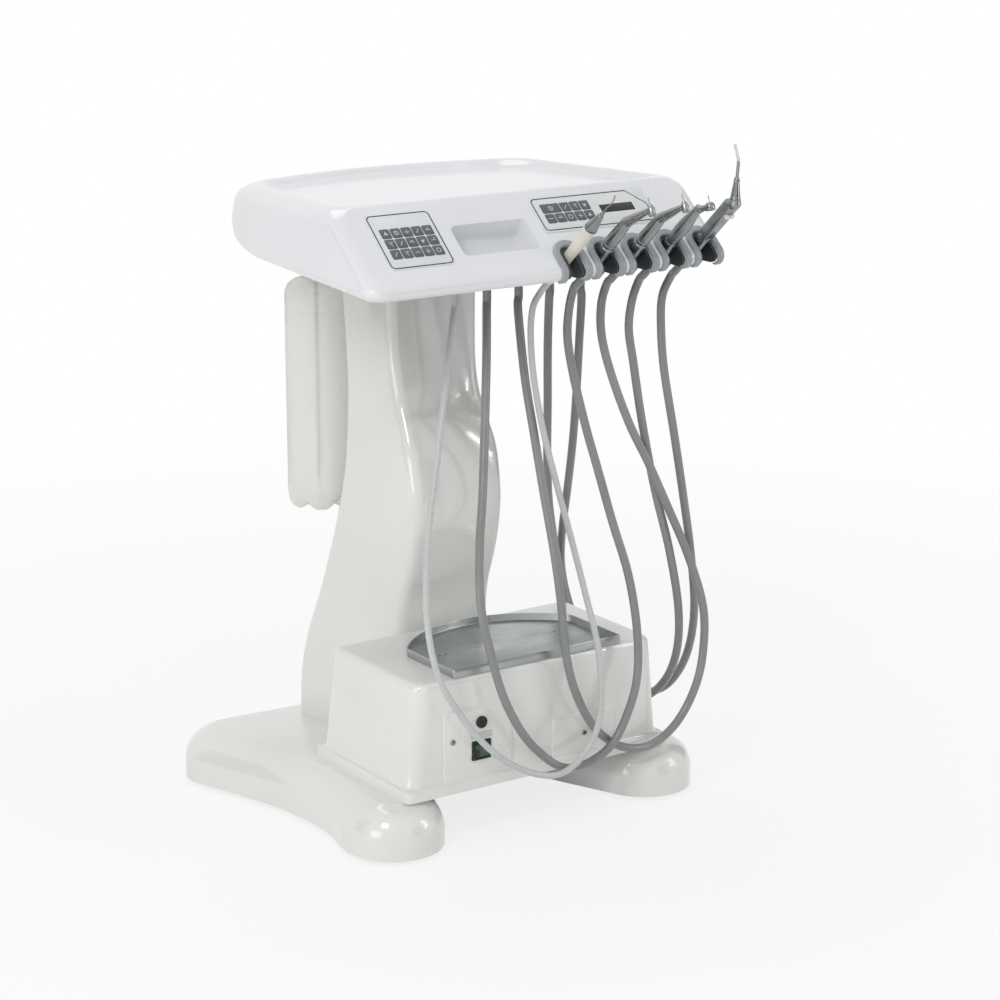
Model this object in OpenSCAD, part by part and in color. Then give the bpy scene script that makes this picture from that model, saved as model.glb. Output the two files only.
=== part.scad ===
// Mobile dental delivery unit: a moulded base on castors, a utility box with a
// stainless tray, a vase-shaped column, a console with two keypads and five
// hose-fed instruments, and a water bottle hanging behind the column.
// Millimetres. +X is the operator's right, -Y faces the operator, Z is up.
// The floor is at z = 0 and the instruments reach as far forward as the base
// reaches back, so the origin is below the middle of the whole unit.

/* [Base] */
// Width of the base over the rear feet
base_w = 654; // [600:2:720]
// Depth of the base from the front feet to the rear feet
base_d = 514; // [480:2:560]
// How far behind the origin the base ends
base_back_y = 312; // [300:1:330]
// Height of the base's flat top above the floor
base_h = 76; // [72:1:90]
// Wall of the base moulding
base_wall = 4; // [3:0.5:5]
// Gap between the base's rim and the floor
rim_gap = 6; // [4:1:10]
// Radius of a front foot seen from above
front_foot_r = 70; // [64:1:76]
// Radius of a rear foot seen from above
rear_foot_r = 75; // [70:1:80]
// Distance between the centres of the front feet
front_track = 428; // [410:2:446]
// Steel frame plate under the base's top
frame_t = 5; // [4:0.5:6]

/* [Castors] */
// Radius of a castor's wheel
wheel_r = 21; // [19:0.5:22]
// Width of a castor's wheel
wheel_w = 18; // [14:1:20]
// Distance from the swivel axis back to the axle
trail = 14; // [10:1:16]
// Radius of the axle and of the swivel stem
axle_r = 4; // [3:0.5:5]
stem_r = 6; // [5:0.5:7]
// Running clearance round an axle or a stem
running_gap = 0.05; // [0.02:0.01:0.1]

/* [Utility box] */
// Width over the box's skirt
box_w = 440; // [420:2:460]
// Depth over the box's skirt
box_d = 240; // [220:2:250]
// Height of the box above the base
box_h = 163; // [150:1:180]
// Where the skirt's front is
box_front_y = -178; // [-190:1:-170]
// Wall of the box moulding
box_wall = 4; // [3:0.5:5]
// Height of the skirt round the box's foot
skirt_h = 16; // [12:1:20]
// How much narrower each side is at the top
box_draft = 13; // [8:1:20]
// Projection of the two flat pads on the front
pad_t = 3; // [2:0.5:4]

/* [Tray] */
// Half of the tray's width
tray_half_w = 141; // [130:1:150]
// Length of the tray's straight sides
tray_side = 118; // [100:1:130]
// Rise of the tray's curved back
tray_rise = 70; // [60:1:80]
// Height of the tray's rim
tray_h = 12; // [10:1:16]
// Thickness of the tray's sheet
tray_t = 1.5; // [1:0.1:2]

/* [Column] */
// Width of the column's front face at the top
column_front_w = 156; // [144:2:164]
// Width of the column's back at the top
column_back_w = 212; // [200:2:216]
// Where the back of the column is at the top
column_back_y = 172; // [164:1:180]
// How far the column's foot spreads sideways and back
column_flare_x = 40; // [30:1:46]
column_flare_y = 68; // [50:1:70]
// Wall of the column moulding
column_wall = 4; // [3:0.5:5]
// Side of the square steel post inside the column
post_w = 60; // [50:1:64]
// Wall of the post
post_wall = 3; // [2:0.5:4]
// Flange plates at both ends of the post
flange_t = 6; // [5:0.5:8]

/* [Console] */
// Height of the console's underside above the floor
console_z = 771; // [745:1:800]
// Height of the console
console_h = 109; // [106:1:116]
// Widest part of the console
console_w = 579; // [567:2:591]
// Width across the back of the console
console_back_w = 520; // [500:2:530]
// Where the tip of the front lip is
console_front_y = -210; // [-216:1:-204]
// Where the middle of the console's back is
console_back_y = 268; // [255:1:280]
// Radius of the front lip and of the brow above the panel
lip_r = 11; // [10:0.5:12]
brow_r = 10; // [8:0.5:12]
// Slope of the keypad panel from horizontal
panel_angle = 41.7; // [40:0.1:44]
// Wall of the console moulding
console_wall = 4; // [3:0.5:5]
// Depth of the recessed top
recess_h = 10; // [6:0.5:12]
// Thickness of the pan that closes the console from below
pan_t = 3; // [2:0.5:4]

/* [Keypads and pocket] */
// Left keypad: width, height, and where its lower left corner is on the panel
left_pad_w = 99; // [90:1:104]
left_pad_h = 92; // [80:1:94]
left_pad_x = -242; // [-246:1:-238]
left_pad_u = 26.5; // [24:1:30]
// Right keypad
right_pad_w = 191; // [180:1:194]
right_pad_h = 63; // [56:1:66]
right_pad_x = 15; // [12:1:20]
right_pad_u = 58.5; // [56:1:62]
// Thickness of a keypad's overlay
overlay_t = 1; // [0.6:0.1:1.4]
// Hand pocket between the keypads
pocket_w = 122; // [110:1:128]
pocket_h = 52; // [40:1:56]
pocket_x = -124; // [-128:1:-118]
pocket_u = 36.5; // [34:1:40]
pocket_depth = 34; // [24:1:38]

/* [Instrument holders] */
// Number of holders
holder_count = 5; // [5]
// Distance between neighbouring holders
holder_pitch = 55.8; // [52:0.2:57]
// Where the first holder is
first_holder_x = 34; // [30:0.5:38]
// Height of the holders' centres up the panel
holder_u = 19.3; // [18:0.1:20]
// Lean of the instruments towards the operator
lean = 48; // [44:1:50]
// Radius of the slot in the lip
slot_r = 14.5; // [14:0.1:16]
// Width of the trim round a slot, and how far it stands proud
trim_w = 10.5; // [8:0.5:11]
trim_t = 3.6; // [3:0.2:4]
// Clearance between an instrument and its rubber liner
liner_gap = 0.3; // [0.2:0.05:0.5]

/* [Instruments] */
// Radius of a motor or a handpiece where the liner holds it
grip_r = 10; // [9:0.25:11]
// Radius of the scaler's grip there
scaler_grip_r = 7.6; // [7:0.2:9]
// How far an instrument's tail reaches below its holder's centre
tail_length = 62; // [56:1:68]
// Length of the contra-angle from the motor's nose to its bend
contra_length = 54; // [50:1:58]
// Bend of the contra-angle's neck
neck_bend = 18; // [15:1:22]
// Length of the neck from the bend to the head
neck_length = 56; // [50:0.5:60]
// How far a syringe button moves
button_travel = 2.5; // [2:0.1:3]
// How far an instrument lifts to leave its holder
lift_travel = 120; // [100:5:150]

/* [Bottle] */
// Radius of the bottle
bottle_r = 46; // [42:1:47]
// Height of the bottle's foot above the floor
bottle_z = 385; // [375:1:400]
// Wall of the bottle
bottle_wall = 1.5; // [1:0.25:2]
// Centre of the bottle
bottle_x = -97; // [-102:1:-92]
bottle_y = 248; // [244:1:252]

/* [Hoses] */
// Radius of the scaler's cable and of the other hoses
cable_r = 4.5; // [4:0.25:5]
hose_r = 6; // [5.5:0.25:6.5]
// Length of the glands under the console
gland_h = 20; // [16:1:24]
// Row of glands: first one, spacing and distance from the origin
first_gland_x = -70; // [-74:1:-66]
gland_pitch = 52.5; // [50:0.5:54]
gland_y = -72; // [-76:1:-68]

/* [Hidden] */

eps = 0.01;
soft_gap = 0.3;
white = "#f2f2f0";
light_grey = "#b9bdbf";
mid_grey = "#8c9092";
dark_rubber = "#3b3e40";
steel = "#a9adb0";
chrome = "#d0d3d6";

// ---------------------------------------------------------------- helpers
function arc(c, r, a0, a1, n) = [for (i = [0:n]) let (a = a0 + (a1 - a0) * i / n) c + r * [cos(a), sin(a)]];
function reversed(v) = [for (i = [len(v) - 1:-1:0]) v[i]];
function unit(v) = v / norm(v);
function mirrored_x(pts) = [for (p = pts) [-p[0], p[1]]];

// One point of a Catmull-Rom curve between b and c.
function spline_point(a, b, c, d, t) =
    0.5 * (2 * b + (c - a) * t + (2 * a - 5 * b + 4 * c - d) * t * t + (3 * b - a - 3 * c + d) * t * t * t);

// A closed smooth curve through pts, with n points for each stretch.
function smooth_closed(pts, n) = let (m = len(pts))
    [for (i = [0:m - 1], j = [0:n - 1])
        spline_point(pts[(i + m - 1) % m], pts[i], pts[(i + 1) % m], pts[(i + 2) % m], j / n)];

// An open smooth curve through pts, with n points for each stretch.
function smooth_open(pts, n) = let (m = len(pts))
    concat([for (i = [0:m - 2], j = [0:n - 1])
        spline_point(pts[max(i - 1, 0)], pts[i], pts[i + 1], pts[min(i + 2, m - 1)], j / n)], [pts[m - 1]]);

// A closed outline drawn in by d along its own normals (anticlockwise points).
function drawn_in(pts, d) = let (m = len(pts))
    [for (i = [0:m - 1]) let (e = unit(pts[(i + 1) % m] - pts[(i + m - 1) % m])) pts[i] + d * [-e[1], e[0]]];

// A ring of points round a four-sided outline with rounded corners and a
// bowed back. z climbs from front to back by the given slope.
function quad_ring(hwf, yf, hwb, yb, rf, rb, z, slope = 0, bow = 0) =
    let (corners = concat(
            arc([-hwf + rf, yf + rf], rf, 180, 270, 5),
            arc([hwf - rf, yf + rf], rf, 270, 360, 5),
            arc([hwb - rb, yb - bow - rb], rb, 0, 90, 5),
            [for (k = [2, 1, 0, -1, -2]) let (s = k / 3) [s * (hwb - rb), yb - bow * s * s]],
            arc([-hwb + rb, yb - bow - rb], rb, 90, 180, 5)))
    [for (p = corners) [p[0], p[1], z + slope * (p[1] - yf)]];

// A solid through a stack of rings that have the same number of points.
module loft(rings) {
    n = len(rings[0]);
    m = len(rings);
    sides = [for (k = [0:m - 2], i = [0:n - 1]) let (a = k * n + i, b = k * n + (i + 1) % n)
        each [[a, a + n, b], [b, a + n, b + n]]];
    polyhedron(
        points = [for (r = rings) each r],
        faces = concat([[for (i = [0:n - 1]) i]], sides, [[for (i = [n - 1:-1:0]) (m - 1) * n + i]]));
}

// Frames that turn as little as possible along a path, one for each point.
function carried(n, t) = unit(n - (n * t) * t);
function path_normals(path, tangents, i = 0, acc = []) =
    i == len(path) ? acc :
    path_normals(path, tangents, i + 1, concat(acc,
        [carried(i == 0 ? (abs(tangents[0][0]) > 0.8 ? [0, 1, 0] : [1, 0, 0]) : acc[i - 1], tangents[i])]));

// A round tube of radius r along a path, as one solid.
module tube(path, r, sides) {
    m = len(path);
    tangents = [for (i = [0:m - 1]) unit(path[min(i + 1, m - 1)] - path[max(i - 1, 0)])];
    normals = path_normals(path, tangents);
    loft([for (i = [0:m - 1]) let (u = normals[i], v = cross(tangents[i], normals[i]))
        [for (k = [0:sides - 1]) let (a = 360 * k / sides) path[i] + r * (cos(a) * u + sin(a) * v)]]);
}

// A flat bar with round corners, standing on z = 0.
module rounded_plate(w, h, t, r) {
    linear_extrude(t) union() {
        translate([r, 0]) square([w - 2 * r, h]);
        translate([0, r]) square([w, h - 2 * r]);
        for (x = [r, w - r], y = [r, h - r]) translate([x, y]) circle(r, $fn = 32);
    }
}

// A turned body: pairs of [radius, height] from the bottom up.
module turned(profile, fn = 48) {
    rotate_extrude($fn = fn) polygon(concat([[0, profile[0][1]]], profile, [[0, profile[len(profile) - 1][1]]]));
}

// ---------------------------------------------------------------- base
rear_track = base_w - 2 * rear_foot_r;
base_front_y = base_back_y - base_d;
front_foot = [front_track / 2, base_front_y + front_foot_r];
rear_foot = [rear_track / 2, base_back_y - rear_foot_r];
waist_x = front_track / 2 + 56;
notch_w = 196;
notch_depth = 254;
// Right half of the base seen from above, from the middle of the front notch
// round the feet to the middle of the back.
base_half = concat(
    [for (q = [[0, 0], [0.48, 8], [0.75, 28], [0.9, 56], [1, 84], [1.19, 132], [1.36, 172], [1.5, 206]])
        [q[0] * notch_w / 2, base_front_y + notch_depth - q[1]]],
    arc(front_foot, front_foot_r, 218, 360, 5),
    [[waist_x + 11, base_front_y + 99], [waist_x, base_front_y + 150], [waist_x, base_front_y + 215],
     [waist_x + 12, base_front_y + 290], [rear_foot[0] + rear_foot_r - 18, rear_foot[1] - 60]],
    arc(rear_foot, rear_foot_r, 0, 90, 3),
    [[rear_foot[0] * 0.6, base_back_y - 7]]);
base_outline = smooth_closed(concat(base_half, [[0, base_back_y - 10]],
    reversed([for (i = [1:len(base_half) - 1]) mirrored_x(base_half)[i]])), 2);
// Rounded shoulder: how far each level is drawn in, and its depth below the top.
shoulder = [[0, 42], [3, 30], [9, 19], [17, 11], [27, 5], [40, 0]];

function base_ring(d, z) = [for (p = drawn_in(base_outline, d)) [p[0], p[1], z]];
function base_rings(d, bottom) = concat([base_ring(d, bottom)],
    [for (s = shoulder) base_ring(s[0] + d, base_h - d - s[1] * (base_h - 2 * rim_gap) / 64)]);

// One skin: down the inside, round the rim and up the outside.
module base_shell() {
    color(white) loft(concat(reversed(base_rings(base_wall, rim_gap + 1)), base_rings(0, rim_gap)));
}

frame_z = base_h - base_wall - frame_t;
foot_centres = [[-front_foot[0], front_foot[1]], front_foot, [-rear_foot[0], rear_foot[1]], rear_foot];

// Steel frame: two long rails that carry a pad over each castor, and two ties.
module base_frame() {
    rail_w = 44;
    tie_y = base_front_y + notch_depth + 46;
    color(steel) difference() {
        translate([0, 0, frame_z]) linear_extrude(frame_t) union() {
            for (m = [0, 1]) mirror([m, 0, 0]) {
                translate(front_foot) circle(stem_r + 14, $fn = 48);
                translate(rear_foot) circle(stem_r + 14, $fn = 48);
                polygon([[front_foot[0] - 22, front_foot[1] - 6], [front_foot[0] + 14, front_foot[1] - 6],
                    [waist_x - 48, front_foot[1] + 70], [waist_x - 48, front_foot[1] + 150],
                    [waist_x - 38, rear_foot[1] - 145], [rear_foot[0] + 6, rear_foot[1] - 56],
                    [rear_foot[0] + 12, rear_foot[1] + 6], [rear_foot[0] - rail_w, rear_foot[1] + 6],
                    [waist_x - 84, rear_foot[1] - 145], [waist_x - 84, front_foot[1] + 70]]);
            }
            translate([-front_foot[0], tie_y]) square([2 * front_foot[0], rail_w]);
            translate([-rear_foot[0] + 20, rear_foot[1] - rail_w]) square([2 * rear_foot[0] - 40, rail_w]);
        }
        for (c = foot_centres)
            translate([c[0], c[1], frame_z - 1]) cylinder(r = stem_r + running_gap, h = frame_t + 2, $fn = 48);
    }
}

fork_top = frame_z - soft_gap;
arm_t = 3;
// Castor fork with its stem and its fixed axle; the trail points backwards.
module castor_fork(c) {
    gap = 0.6;
    color(steel) translate([c[0], c[1], 0]) {
        translate([0, 0, fork_top - 5]) cylinder(r = 20, h = 5, $fn = 48);
        translate([0, 0, fork_top - 1]) cylinder(r = stem_r, h = soft_gap + frame_t + 1 - 0.2, $fn = 48);
        for (s = [-1, 1])
            translate([s * (wheel_w / 2 + gap + arm_t / 2) - arm_t / 2, trail - 9, wheel_r - 8])
                cube([arm_t, 18, fork_top - 5 - wheel_r + 8 + 1]);
        translate([-wheel_w / 2 - gap - arm_t, trail, wheel_r])
            rotate([0, 90, 0]) cylinder(r = axle_r, h = wheel_w + 2 * (gap + arm_t), $fn = 48);
    }
}

module castor_wheel(c) {
    color(dark_rubber) translate([c[0] - wheel_w / 2, c[1] + trail, wheel_r]) rotate([0, 90, 0])
        difference() {
            turned([[wheel_r - 2, 0], [wheel_r, 2], [wheel_r, wheel_w - 2], [wheel_r - 2, wheel_w]]);
            translate([0, 0, -1]) cylinder(r = axle_r + running_gap, h = wheel_w + 2, $fn = 48);
        }
}

// ---------------------------------------------------------------- utility box
box_top = base_h + box_h;
box_back_y = box_front_y + box_d;
skirt_t = 4;
// Levels of the box: height, how far it is drawn in at the sides and ends.
box_levels = [[0, 0], [skirt_h - 1, 0], [skirt_h, 1], [skirt_h, skirt_t + 1], [skirt_h + 3, skirt_t + 2.5]];

function box_ring(z, inset, r) =
    let (side = box_draft * max(0, z - skirt_h) / (box_h - skirt_h), x = box_w / 2 - inset - side)
    quad_ring(x, box_front_y + inset * 0.8, x, box_back_y - inset - side * 0.7, r, r * 0.6, base_h + z);

function box_outer() = concat(
    [for (l = box_levels) box_ring(l[0], l[1], l[1] > 1 ? 22 : 10)],
    [for (a = [0:18:90]) box_ring(box_h - 10 + 10 * sin(a), skirt_t + 2.5 + 10 * (1 - cos(a)), 24 - 6 * (1 - cos(a)))]);

// The two flat pads on the front, standing on the skirt.
box_pads = [[-159, 112, 104], [22, 108, 60]];
pad_y = box_front_y + 0.8 * (skirt_t + 2.5);

module box_shell() {
    color(white) difference() {
        union() {
            loft(box_outer());
            for (p = box_pads) translate([p[0], pad_y + 2, base_h + skirt_h - 2]) rotate([90, 0, 0])
                rounded_plate(p[1], p[2], 2 + pad_t, 8);
            translate([switch_x + 4, pad_y, 151]) rotate([90, 0, 0]) cylinder(r = 35, h = pad_t + disc_t, $fn = 96);
        }
        loft([box_ring(-1, skirt_t + 6.5, 18), box_ring(skirt_h, skirt_t + 6.5, 18),
            box_ring(box_h - 14, skirt_t + 6.5, 18), box_ring(box_h - box_wall, skirt_t + 16, 16)]);
        translate([switch_x, pad_y + 8, switch_z]) cube([switch_w - 3, 24, switch_h - 3], center = true);
        translate([switch_x, pad_y + 12, fuse_z]) rotate([90, 0, 0]) cylinder(r = fuse_r - 2, h = 24, $fn = 48);
        translate([inlet_x, box_back_y - 8, inlet_z]) cube([inlet_w - 8, 40, inlet_h - 6], center = true);
        translate([air_x, box_back_y + 5, inlet_z]) rotate([90, 0, 0]) cylinder(r = air_thread_r, h = 40, $fn = 48);
    }
}

// Steel floor of the box, on the base's top.
floor_t = 3;
module box_floor() {
    color(steel) translate([-box_w / 2 + skirt_t + 7, box_front_y + skirt_t + 6, base_h])
        rounded_plate(box_w - 2 * (skirt_t + 7), box_d - 2 * (skirt_t + 7.5), floor_t, 18);
}

module power_supply() {
    color(mid_grey) translate([40, box_front_y + 60, base_h + floor_t]) {
        cube([120, 90, 55]);
        for (x = [12, 96]) translate([x, 20, 55]) cube([12, 50, 14]);
    }
}

module pressure_regulator() {
    color(chrome) translate([-150, box_front_y + 90, base_h + floor_t]) {
        cube([90, 55, 40]);
        translate([25, 27, 40]) cylinder(r = 18, h = 36, $fn = 48);
        translate([65, 27, 40]) cylinder(r = 12, h = 14, $fn = 48);
        translate([65, 0, 20]) rotate([90, 0, 0]) cylinder(r = 14, h = 12, $fn = 48);
    }
}

disc_t = 0.8;
pad_face_y = pad_y - pad_t - disc_t;
switch_x = -99;
switch_z = 131;
switch_w = 31;
switch_h = 28;
rocker_w = 19;
rocker_h = 21;
pin_r = 1.2;
fuse_z = 171;
fuse_r = 8.5;

module switch_bezel() {
    color("#1b1c1d") difference() {
        union() {
            translate([switch_x - switch_w / 2, pad_face_y, switch_z - switch_h / 2]) rotate([90, 0, 0])
                rounded_plate(switch_w, switch_h, 2, 2);
            translate([switch_x, pad_face_y + 9, switch_z]) cube([switch_w - 4, 18, switch_h - 4], center = true);
        }
        translate([switch_x, pad_face_y + 2, switch_z]) cube([rocker_w + 1, 14, rocker_h + 1], center = true);
        translate([switch_x - rocker_w / 2 - 2.2, pad_face_y + 3, switch_z]) rotate([0, 90, 0])
            cylinder(r = pin_r + running_gap, h = rocker_w + 4.4, $fn = 32);
    }
}

// Rocker on a pin that runs in the bezel; its two faces meet at a shallow angle.
module switch_rocker() {
    color("#24513a") translate([switch_x, pad_face_y + 3, switch_z]) rotate([90, 0, 90])
        translate([0, 0, -rocker_w / 2]) linear_extrude(rocker_w)
            polygon([[-7, -rocker_h / 2 + 1.6], [-3.4, 0], [-5, rocker_h / 2 - 1.6], [2, rocker_h / 2 - 2.5],
                [2, -rocker_h / 2 + 2.5]]);
    color("#24513a") translate([switch_x - rocker_w / 2 - 2, pad_face_y + 3, switch_z]) rotate([0, 90, 0])
        cylinder(r = pin_r, h = rocker_w + 4, $fn = 32);
}

module fuse_holder() {
    color("#161718") translate([switch_x, pad_face_y, fuse_z]) rotate([90, 0, 0]) {
        turned([[fuse_r, 0], [fuse_r, 3], [fuse_r - 1, 4]]);
        translate([0, 0, -20]) cylinder(r = fuse_r - 2 - 0.1, h = 20, $fn = 48);
    }
}

module name_plate() {
    color("#e9e9e6") translate([switch_x - 18, pad_face_y, switch_z + switch_h / 2 + 3]) rotate([90, 0, 0])
        rounded_plate(36, 9, 0.6, 1);
}

module box_screws() {
    color(chrome) for (x = [switch_x - 46, 22 + 54]) translate([x, pad_face_y + disc_t, x < 0 ? 150 : 120]) rotate([90, 0, 0])
        difference() {
            turned([[4, 0], [4, 1], [3, 2]]);
            translate([0, 0, 2.2]) cube([5, 0.9, 1.6], center = true);
            translate([0, 0, 2.2]) cube([0.9, 5, 1.6], center = true);
        }
}

inlet_x = 165;
inlet_z = 120;
inlet_w = 50;
inlet_h = 28;
air_x = -165;
air_r = 4;
air_thread_r = 6.5;
// The flange is upright and the box's back slopes, so it seats on its lower edge.
inlet_seat = 0.95;
back_face_y = box_back_y - skirt_t - 2.5;

module mains_inlet() {
    y = back_face_y - 0.7 * box_draft * (inlet_z - base_h - skirt_h) / (box_h - skirt_h);
    color("#1b1c1d") difference() {
        union() {
            translate([inlet_x + inlet_w / 2, y + inlet_seat, inlet_z - inlet_h / 2]) rotate([90, 0, 180])
                rounded_plate(inlet_w, inlet_h, 3, 3);
            translate([inlet_x, y - 8, inlet_z]) cube([inlet_w - 9, 18, inlet_h - 7], center = true);
        }
        translate([inlet_x, y, inlet_z]) cube([24, 20, 16], center = true);
    }
}

module air_fitting() {
    y = back_face_y - 0.7 * box_draft * (inlet_z - base_h - skirt_h) / (box_h - skirt_h);
    color(chrome) translate([air_x, y + 0.6, inlet_z]) rotate([-90, 0, 0]) {
        cylinder(r = 9, h = 7, $fn = 6);
        cylinder(r = air_r, h = 30, $fn = 48);
        translate([0, 0, -14]) cylinder(r = air_thread_r - 0.1, h = 15, $fn = 48);
    }
}

// ---------------------------------------------------------------- tray
tray_front_y = box_front_y + 6;
tray_arc_r = (tray_half_w * tray_half_w + tray_rise * tray_rise) / (2 * tray_rise);
rivet_r = 2.2;

module tray_outline(inset) {
    intersection() {
        translate([-tray_half_w + inset, inset]) square([2 * (tray_half_w - inset), tray_side + tray_rise]);
        translate([0, tray_side + tray_rise - tray_arc_r]) circle(tray_arc_r - inset, $fn = 96);
    }
}

module tray() {
    color(chrome) translate([0, tray_front_y, box_top]) difference() {
        linear_extrude(tray_h) tray_outline(0);
        translate([0, 0, tray_t]) linear_extrude(tray_h) tray_outline(tray_t);
        at_rivets() translate([0, 0, -1]) cylinder(r = rivet_r + running_gap, h = tray_t + 2, $fn = 32);
    }
}

module at_rivets() {
    for (x = [-98, 98], dx = [-5, 5]) translate([x + dx, 93, 0]) children();
}

// Rivets through the sheet, flush with the tray's floor.
module tray_rivets() {
    color(chrome) translate([0, tray_front_y, box_top]) at_rivets() cylinder(r = rivet_r, h = tray_t, $fn = 32);
}

// ---------------------------------------------------------------- column
column_h = console_z - base_h;
column_front_top = 84;
// Levels: share of the height, front, extra half width in front,
// share of the sideways flare, share of the backward flare.
column_levels = [
    [0.00, 0, 6, 1.00, 1.00], [0.05, 0, 6, 0.99, 0.99], [0.10, 0, 5, 0.96, 0.96], [0.15, 0, 4, 0.87, 0.90],
    [0.20, 0, 3, 0.72, 0.81], [0.25, -2, 2, 0.54, 0.69], [0.30, -9, 1, 0.38, 0.57], [0.35, -22, 0, 0.25, 0.46],
    [0.40, -33, 0, 0.10, 0.37], [0.45, -40, 0, -0.02, 0.29], [0.50, -43, 0, -0.12, 0.21], [0.555, -39, 0, -0.18, 0.13],
    [0.605, -30, 0, -0.21, 0.08], [0.655, -15, -3, -0.21, 0.04], [0.705, 3, -5, -0.21, 0.01], [0.76, 14, -4, -0.19, 0],
    [0.82, 19, -2, -0.14, 0], [0.90, 20, -1, -0.07, 0], [1.00, 20, 0, 0, 0]
];
column_foot_y = box_back_y + 2;

function column_ring(l, d, r) = quad_ring(
    column_front_w / 2 + l[2] - d, column_foot_y + l[1] + d,
    column_back_w / 2 + l[3] * column_flare_x - d, column_back_y + l[4] * column_flare_y - d,
    r - d, r - 5 - d, base_h + l[0] * column_h);

module column_shell() {
    outer = [for (l = column_levels) column_ring(l, 0, 18)];
    inner = [for (l = column_levels) column_ring(l, column_wall, 18)];
    n = len(column_levels) - 1;
    color(white) difference() {
        loft(outer);
        loft(concat([[for (p = inner[0]) p - [0, 0, 1]]], [for (i = [1:n - 1]) inner[i]],
            [[for (p = inner[n]) p + [0, 0, 1]]]));
    }
}

post_y = (column_foot_y + 20 + column_back_y) / 2;
module column_post() {
    h = column_h;
    color(steel) translate([0, post_y, base_h]) difference() {
        union() {
            translate([-post_w / 2, -post_w / 2, 0]) cube([post_w, post_w, h]);
            translate([-62, -36, 0]) cube([124, 72, flange_t]);
            translate([-62, -36, h - flange_t]) cube([124, 72, flange_t]);
        }
        translate([-post_w / 2 + post_wall, -post_w / 2 + post_wall, -1])
            cube([post_w - 2 * post_wall, post_w - 2 * post_wall, h + 2]);
        for (x = [-50, 50], y = [-26, 26]) translate([x, y, -1]) cylinder(r = 4.5, h = h + 2, $fn = 48);
    }
}

// ---------------------------------------------------------------- console
console_top = console_z + console_h;
lip_centre = [console_front_y + lip_r, console_z + lip_r];
panel_normal = [-sin(panel_angle), cos(panel_angle)];
panel_start = lip_centre + lip_r * panel_normal;
brow_z = console_top - brow_r;
// The brow's circle touches the panel from below and the top's front edge.
brow_centre = [panel_start[0] + (brow_z - panel_start[1]) / tan(panel_angle) + brow_r / sin(panel_angle), brow_z];

// Front profile [y, z] from the underside round the lip and up the panel to
// the brow, moved inwards by d.
function lip_profile(d) = [for (i = [0:5]) let (a = 270 - (180 - panel_angle) * i / 5)
    lip_centre + (lip_r - d) * [cos(a), sin(a)]];
function brow_profile(d) = [for (i = [0:3]) let (a = 90 + panel_angle * (1 - i / 3))
    brow_centre + (brow_r - d) * [cos(a), sin(a)]];
function panel_profile(d) = let (a = lip_profile(d)[5], b = brow_profile(d)[0])
    [for (s = [0.25, 0.5, 0.75]) a + s * (b - a)];

// How far the sides and the back are drawn in at a height above the underside.
front_inset = [[0, 18], [1, 12], [3, 8], [9, 3], [16, 0], [95, 0], [102, 5], [107, 14], [109, 24]];
rear_inset = [[0, 38], [1, 28], [3, 19], [9, 9], [18, 3], [32, 0], [60, 0], [88, 3], [98, 7], [104, 13], [107, 18],
    [109, 25]];
back_inset = [[0, 92], [1, 82], [3, 68], [6, 55], [10, 42], [16, 28], [24, 15], [34, 5], [50, 0], [60, 0], [90, 3],
    [100, 8], [105, 14], [109, 24]];
back_bow = 30;
top_rake = -0.013;

function console_ring(p, d, extra = 0) = let (h = p[1] - console_z)
    quad_ring(console_w / 2 - lookup(h, front_inset) - d - extra, p[0],
        console_back_w / 2 - lookup(h, rear_inset) - d - extra, console_back_y - lookup(h, back_inset) - d - extra,
        max(22 - d, 12), 55 - d, p[1], h > 40 ? top_rake * min(1, (h - 40) / 40) : 0, back_bow);

recess_levels = [[4, 0.2], [9, 2.5], [15, recess_h - 2], [23, recess_h]];

function console_rings() = concat(
    [for (p = concat(lip_profile(0), panel_profile(0), brow_profile(0))) console_ring(p, 0)],
    [for (l = recess_levels) let (r = console_ring([brow_centre[0] + l[0], console_top], 0, l[0]))
        [for (q = r) q - [0, 0, l[1]]]]);

pan_y = lip_centre[0] + 2;
// Inside of the shell: an upright edge round the pan, then a wall's distance.
module console_cavity() {
    w = console_wall;
    low = lip_profile(w);
    high = panel_profile(w);
    top_z = console_top - recess_h - w - 7;
    top_y = high[2][0] + (top_z - high[2][1]) / tan(panel_angle);
    loft(concat([console_ring([pan_y, console_z - 1], w + 2)],
        [[for (p = console_ring([pan_y, console_z - 1], w + 2)) p + [0, 0, pan_t + 1.2]]],
        [for (i = [1:5]) console_ring(low[i], w)], [for (i = [0:2]) console_ring(high[i], w)],
        [console_ring([top_y, top_z], w)]));
}

module on_panel() {
    translate([0, panel_start[0], panel_start[1]]) rotate([panel_angle, 0, 0]) children();
}

module pocket(grow, mouth) {
    on_panel() translate([pocket_x - grow, pocket_u - grow, -pocket_depth - grow])
        rounded_plate(pocket_w + 2 * grow, pocket_h + 2 * grow, pocket_depth + grow + mouth, 10 + grow);
}

function holder_x(k) = first_holder_x + k * holder_pitch;
holder_yz = panel_start + holder_u * [cos(panel_angle), sin(panel_angle)];

module at_holder(k) {
    translate([holder_x(k), holder_yz[0], holder_yz[1]]) rotate([lean, 0, 0]) children();
}

// The slot for an instrument: round at the back, open to the front and below.
module slot(r, below, above) {
    translate([0, 0, -below]) cylinder(r = r, h = below + above, $fn = 48);
    translate([-r, -60, -below]) cube([2 * r, 60, below + above]);
}

module console_shell() {
    color(white) difference() {
        union() {
            difference() {
                loft(console_rings());
                console_cavity();
            }
            pocket(console_wall, -1);
            translate([bottle_x, bottle_y, hanger_z]) cylinder(r = cap_r + 3, h = 22, $fn = 64);
        }
        pocket(0, 30);
        for (k = [0:holder_count - 1]) at_holder(k) slot(slot_r, 90, 50);
    }
}

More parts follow.
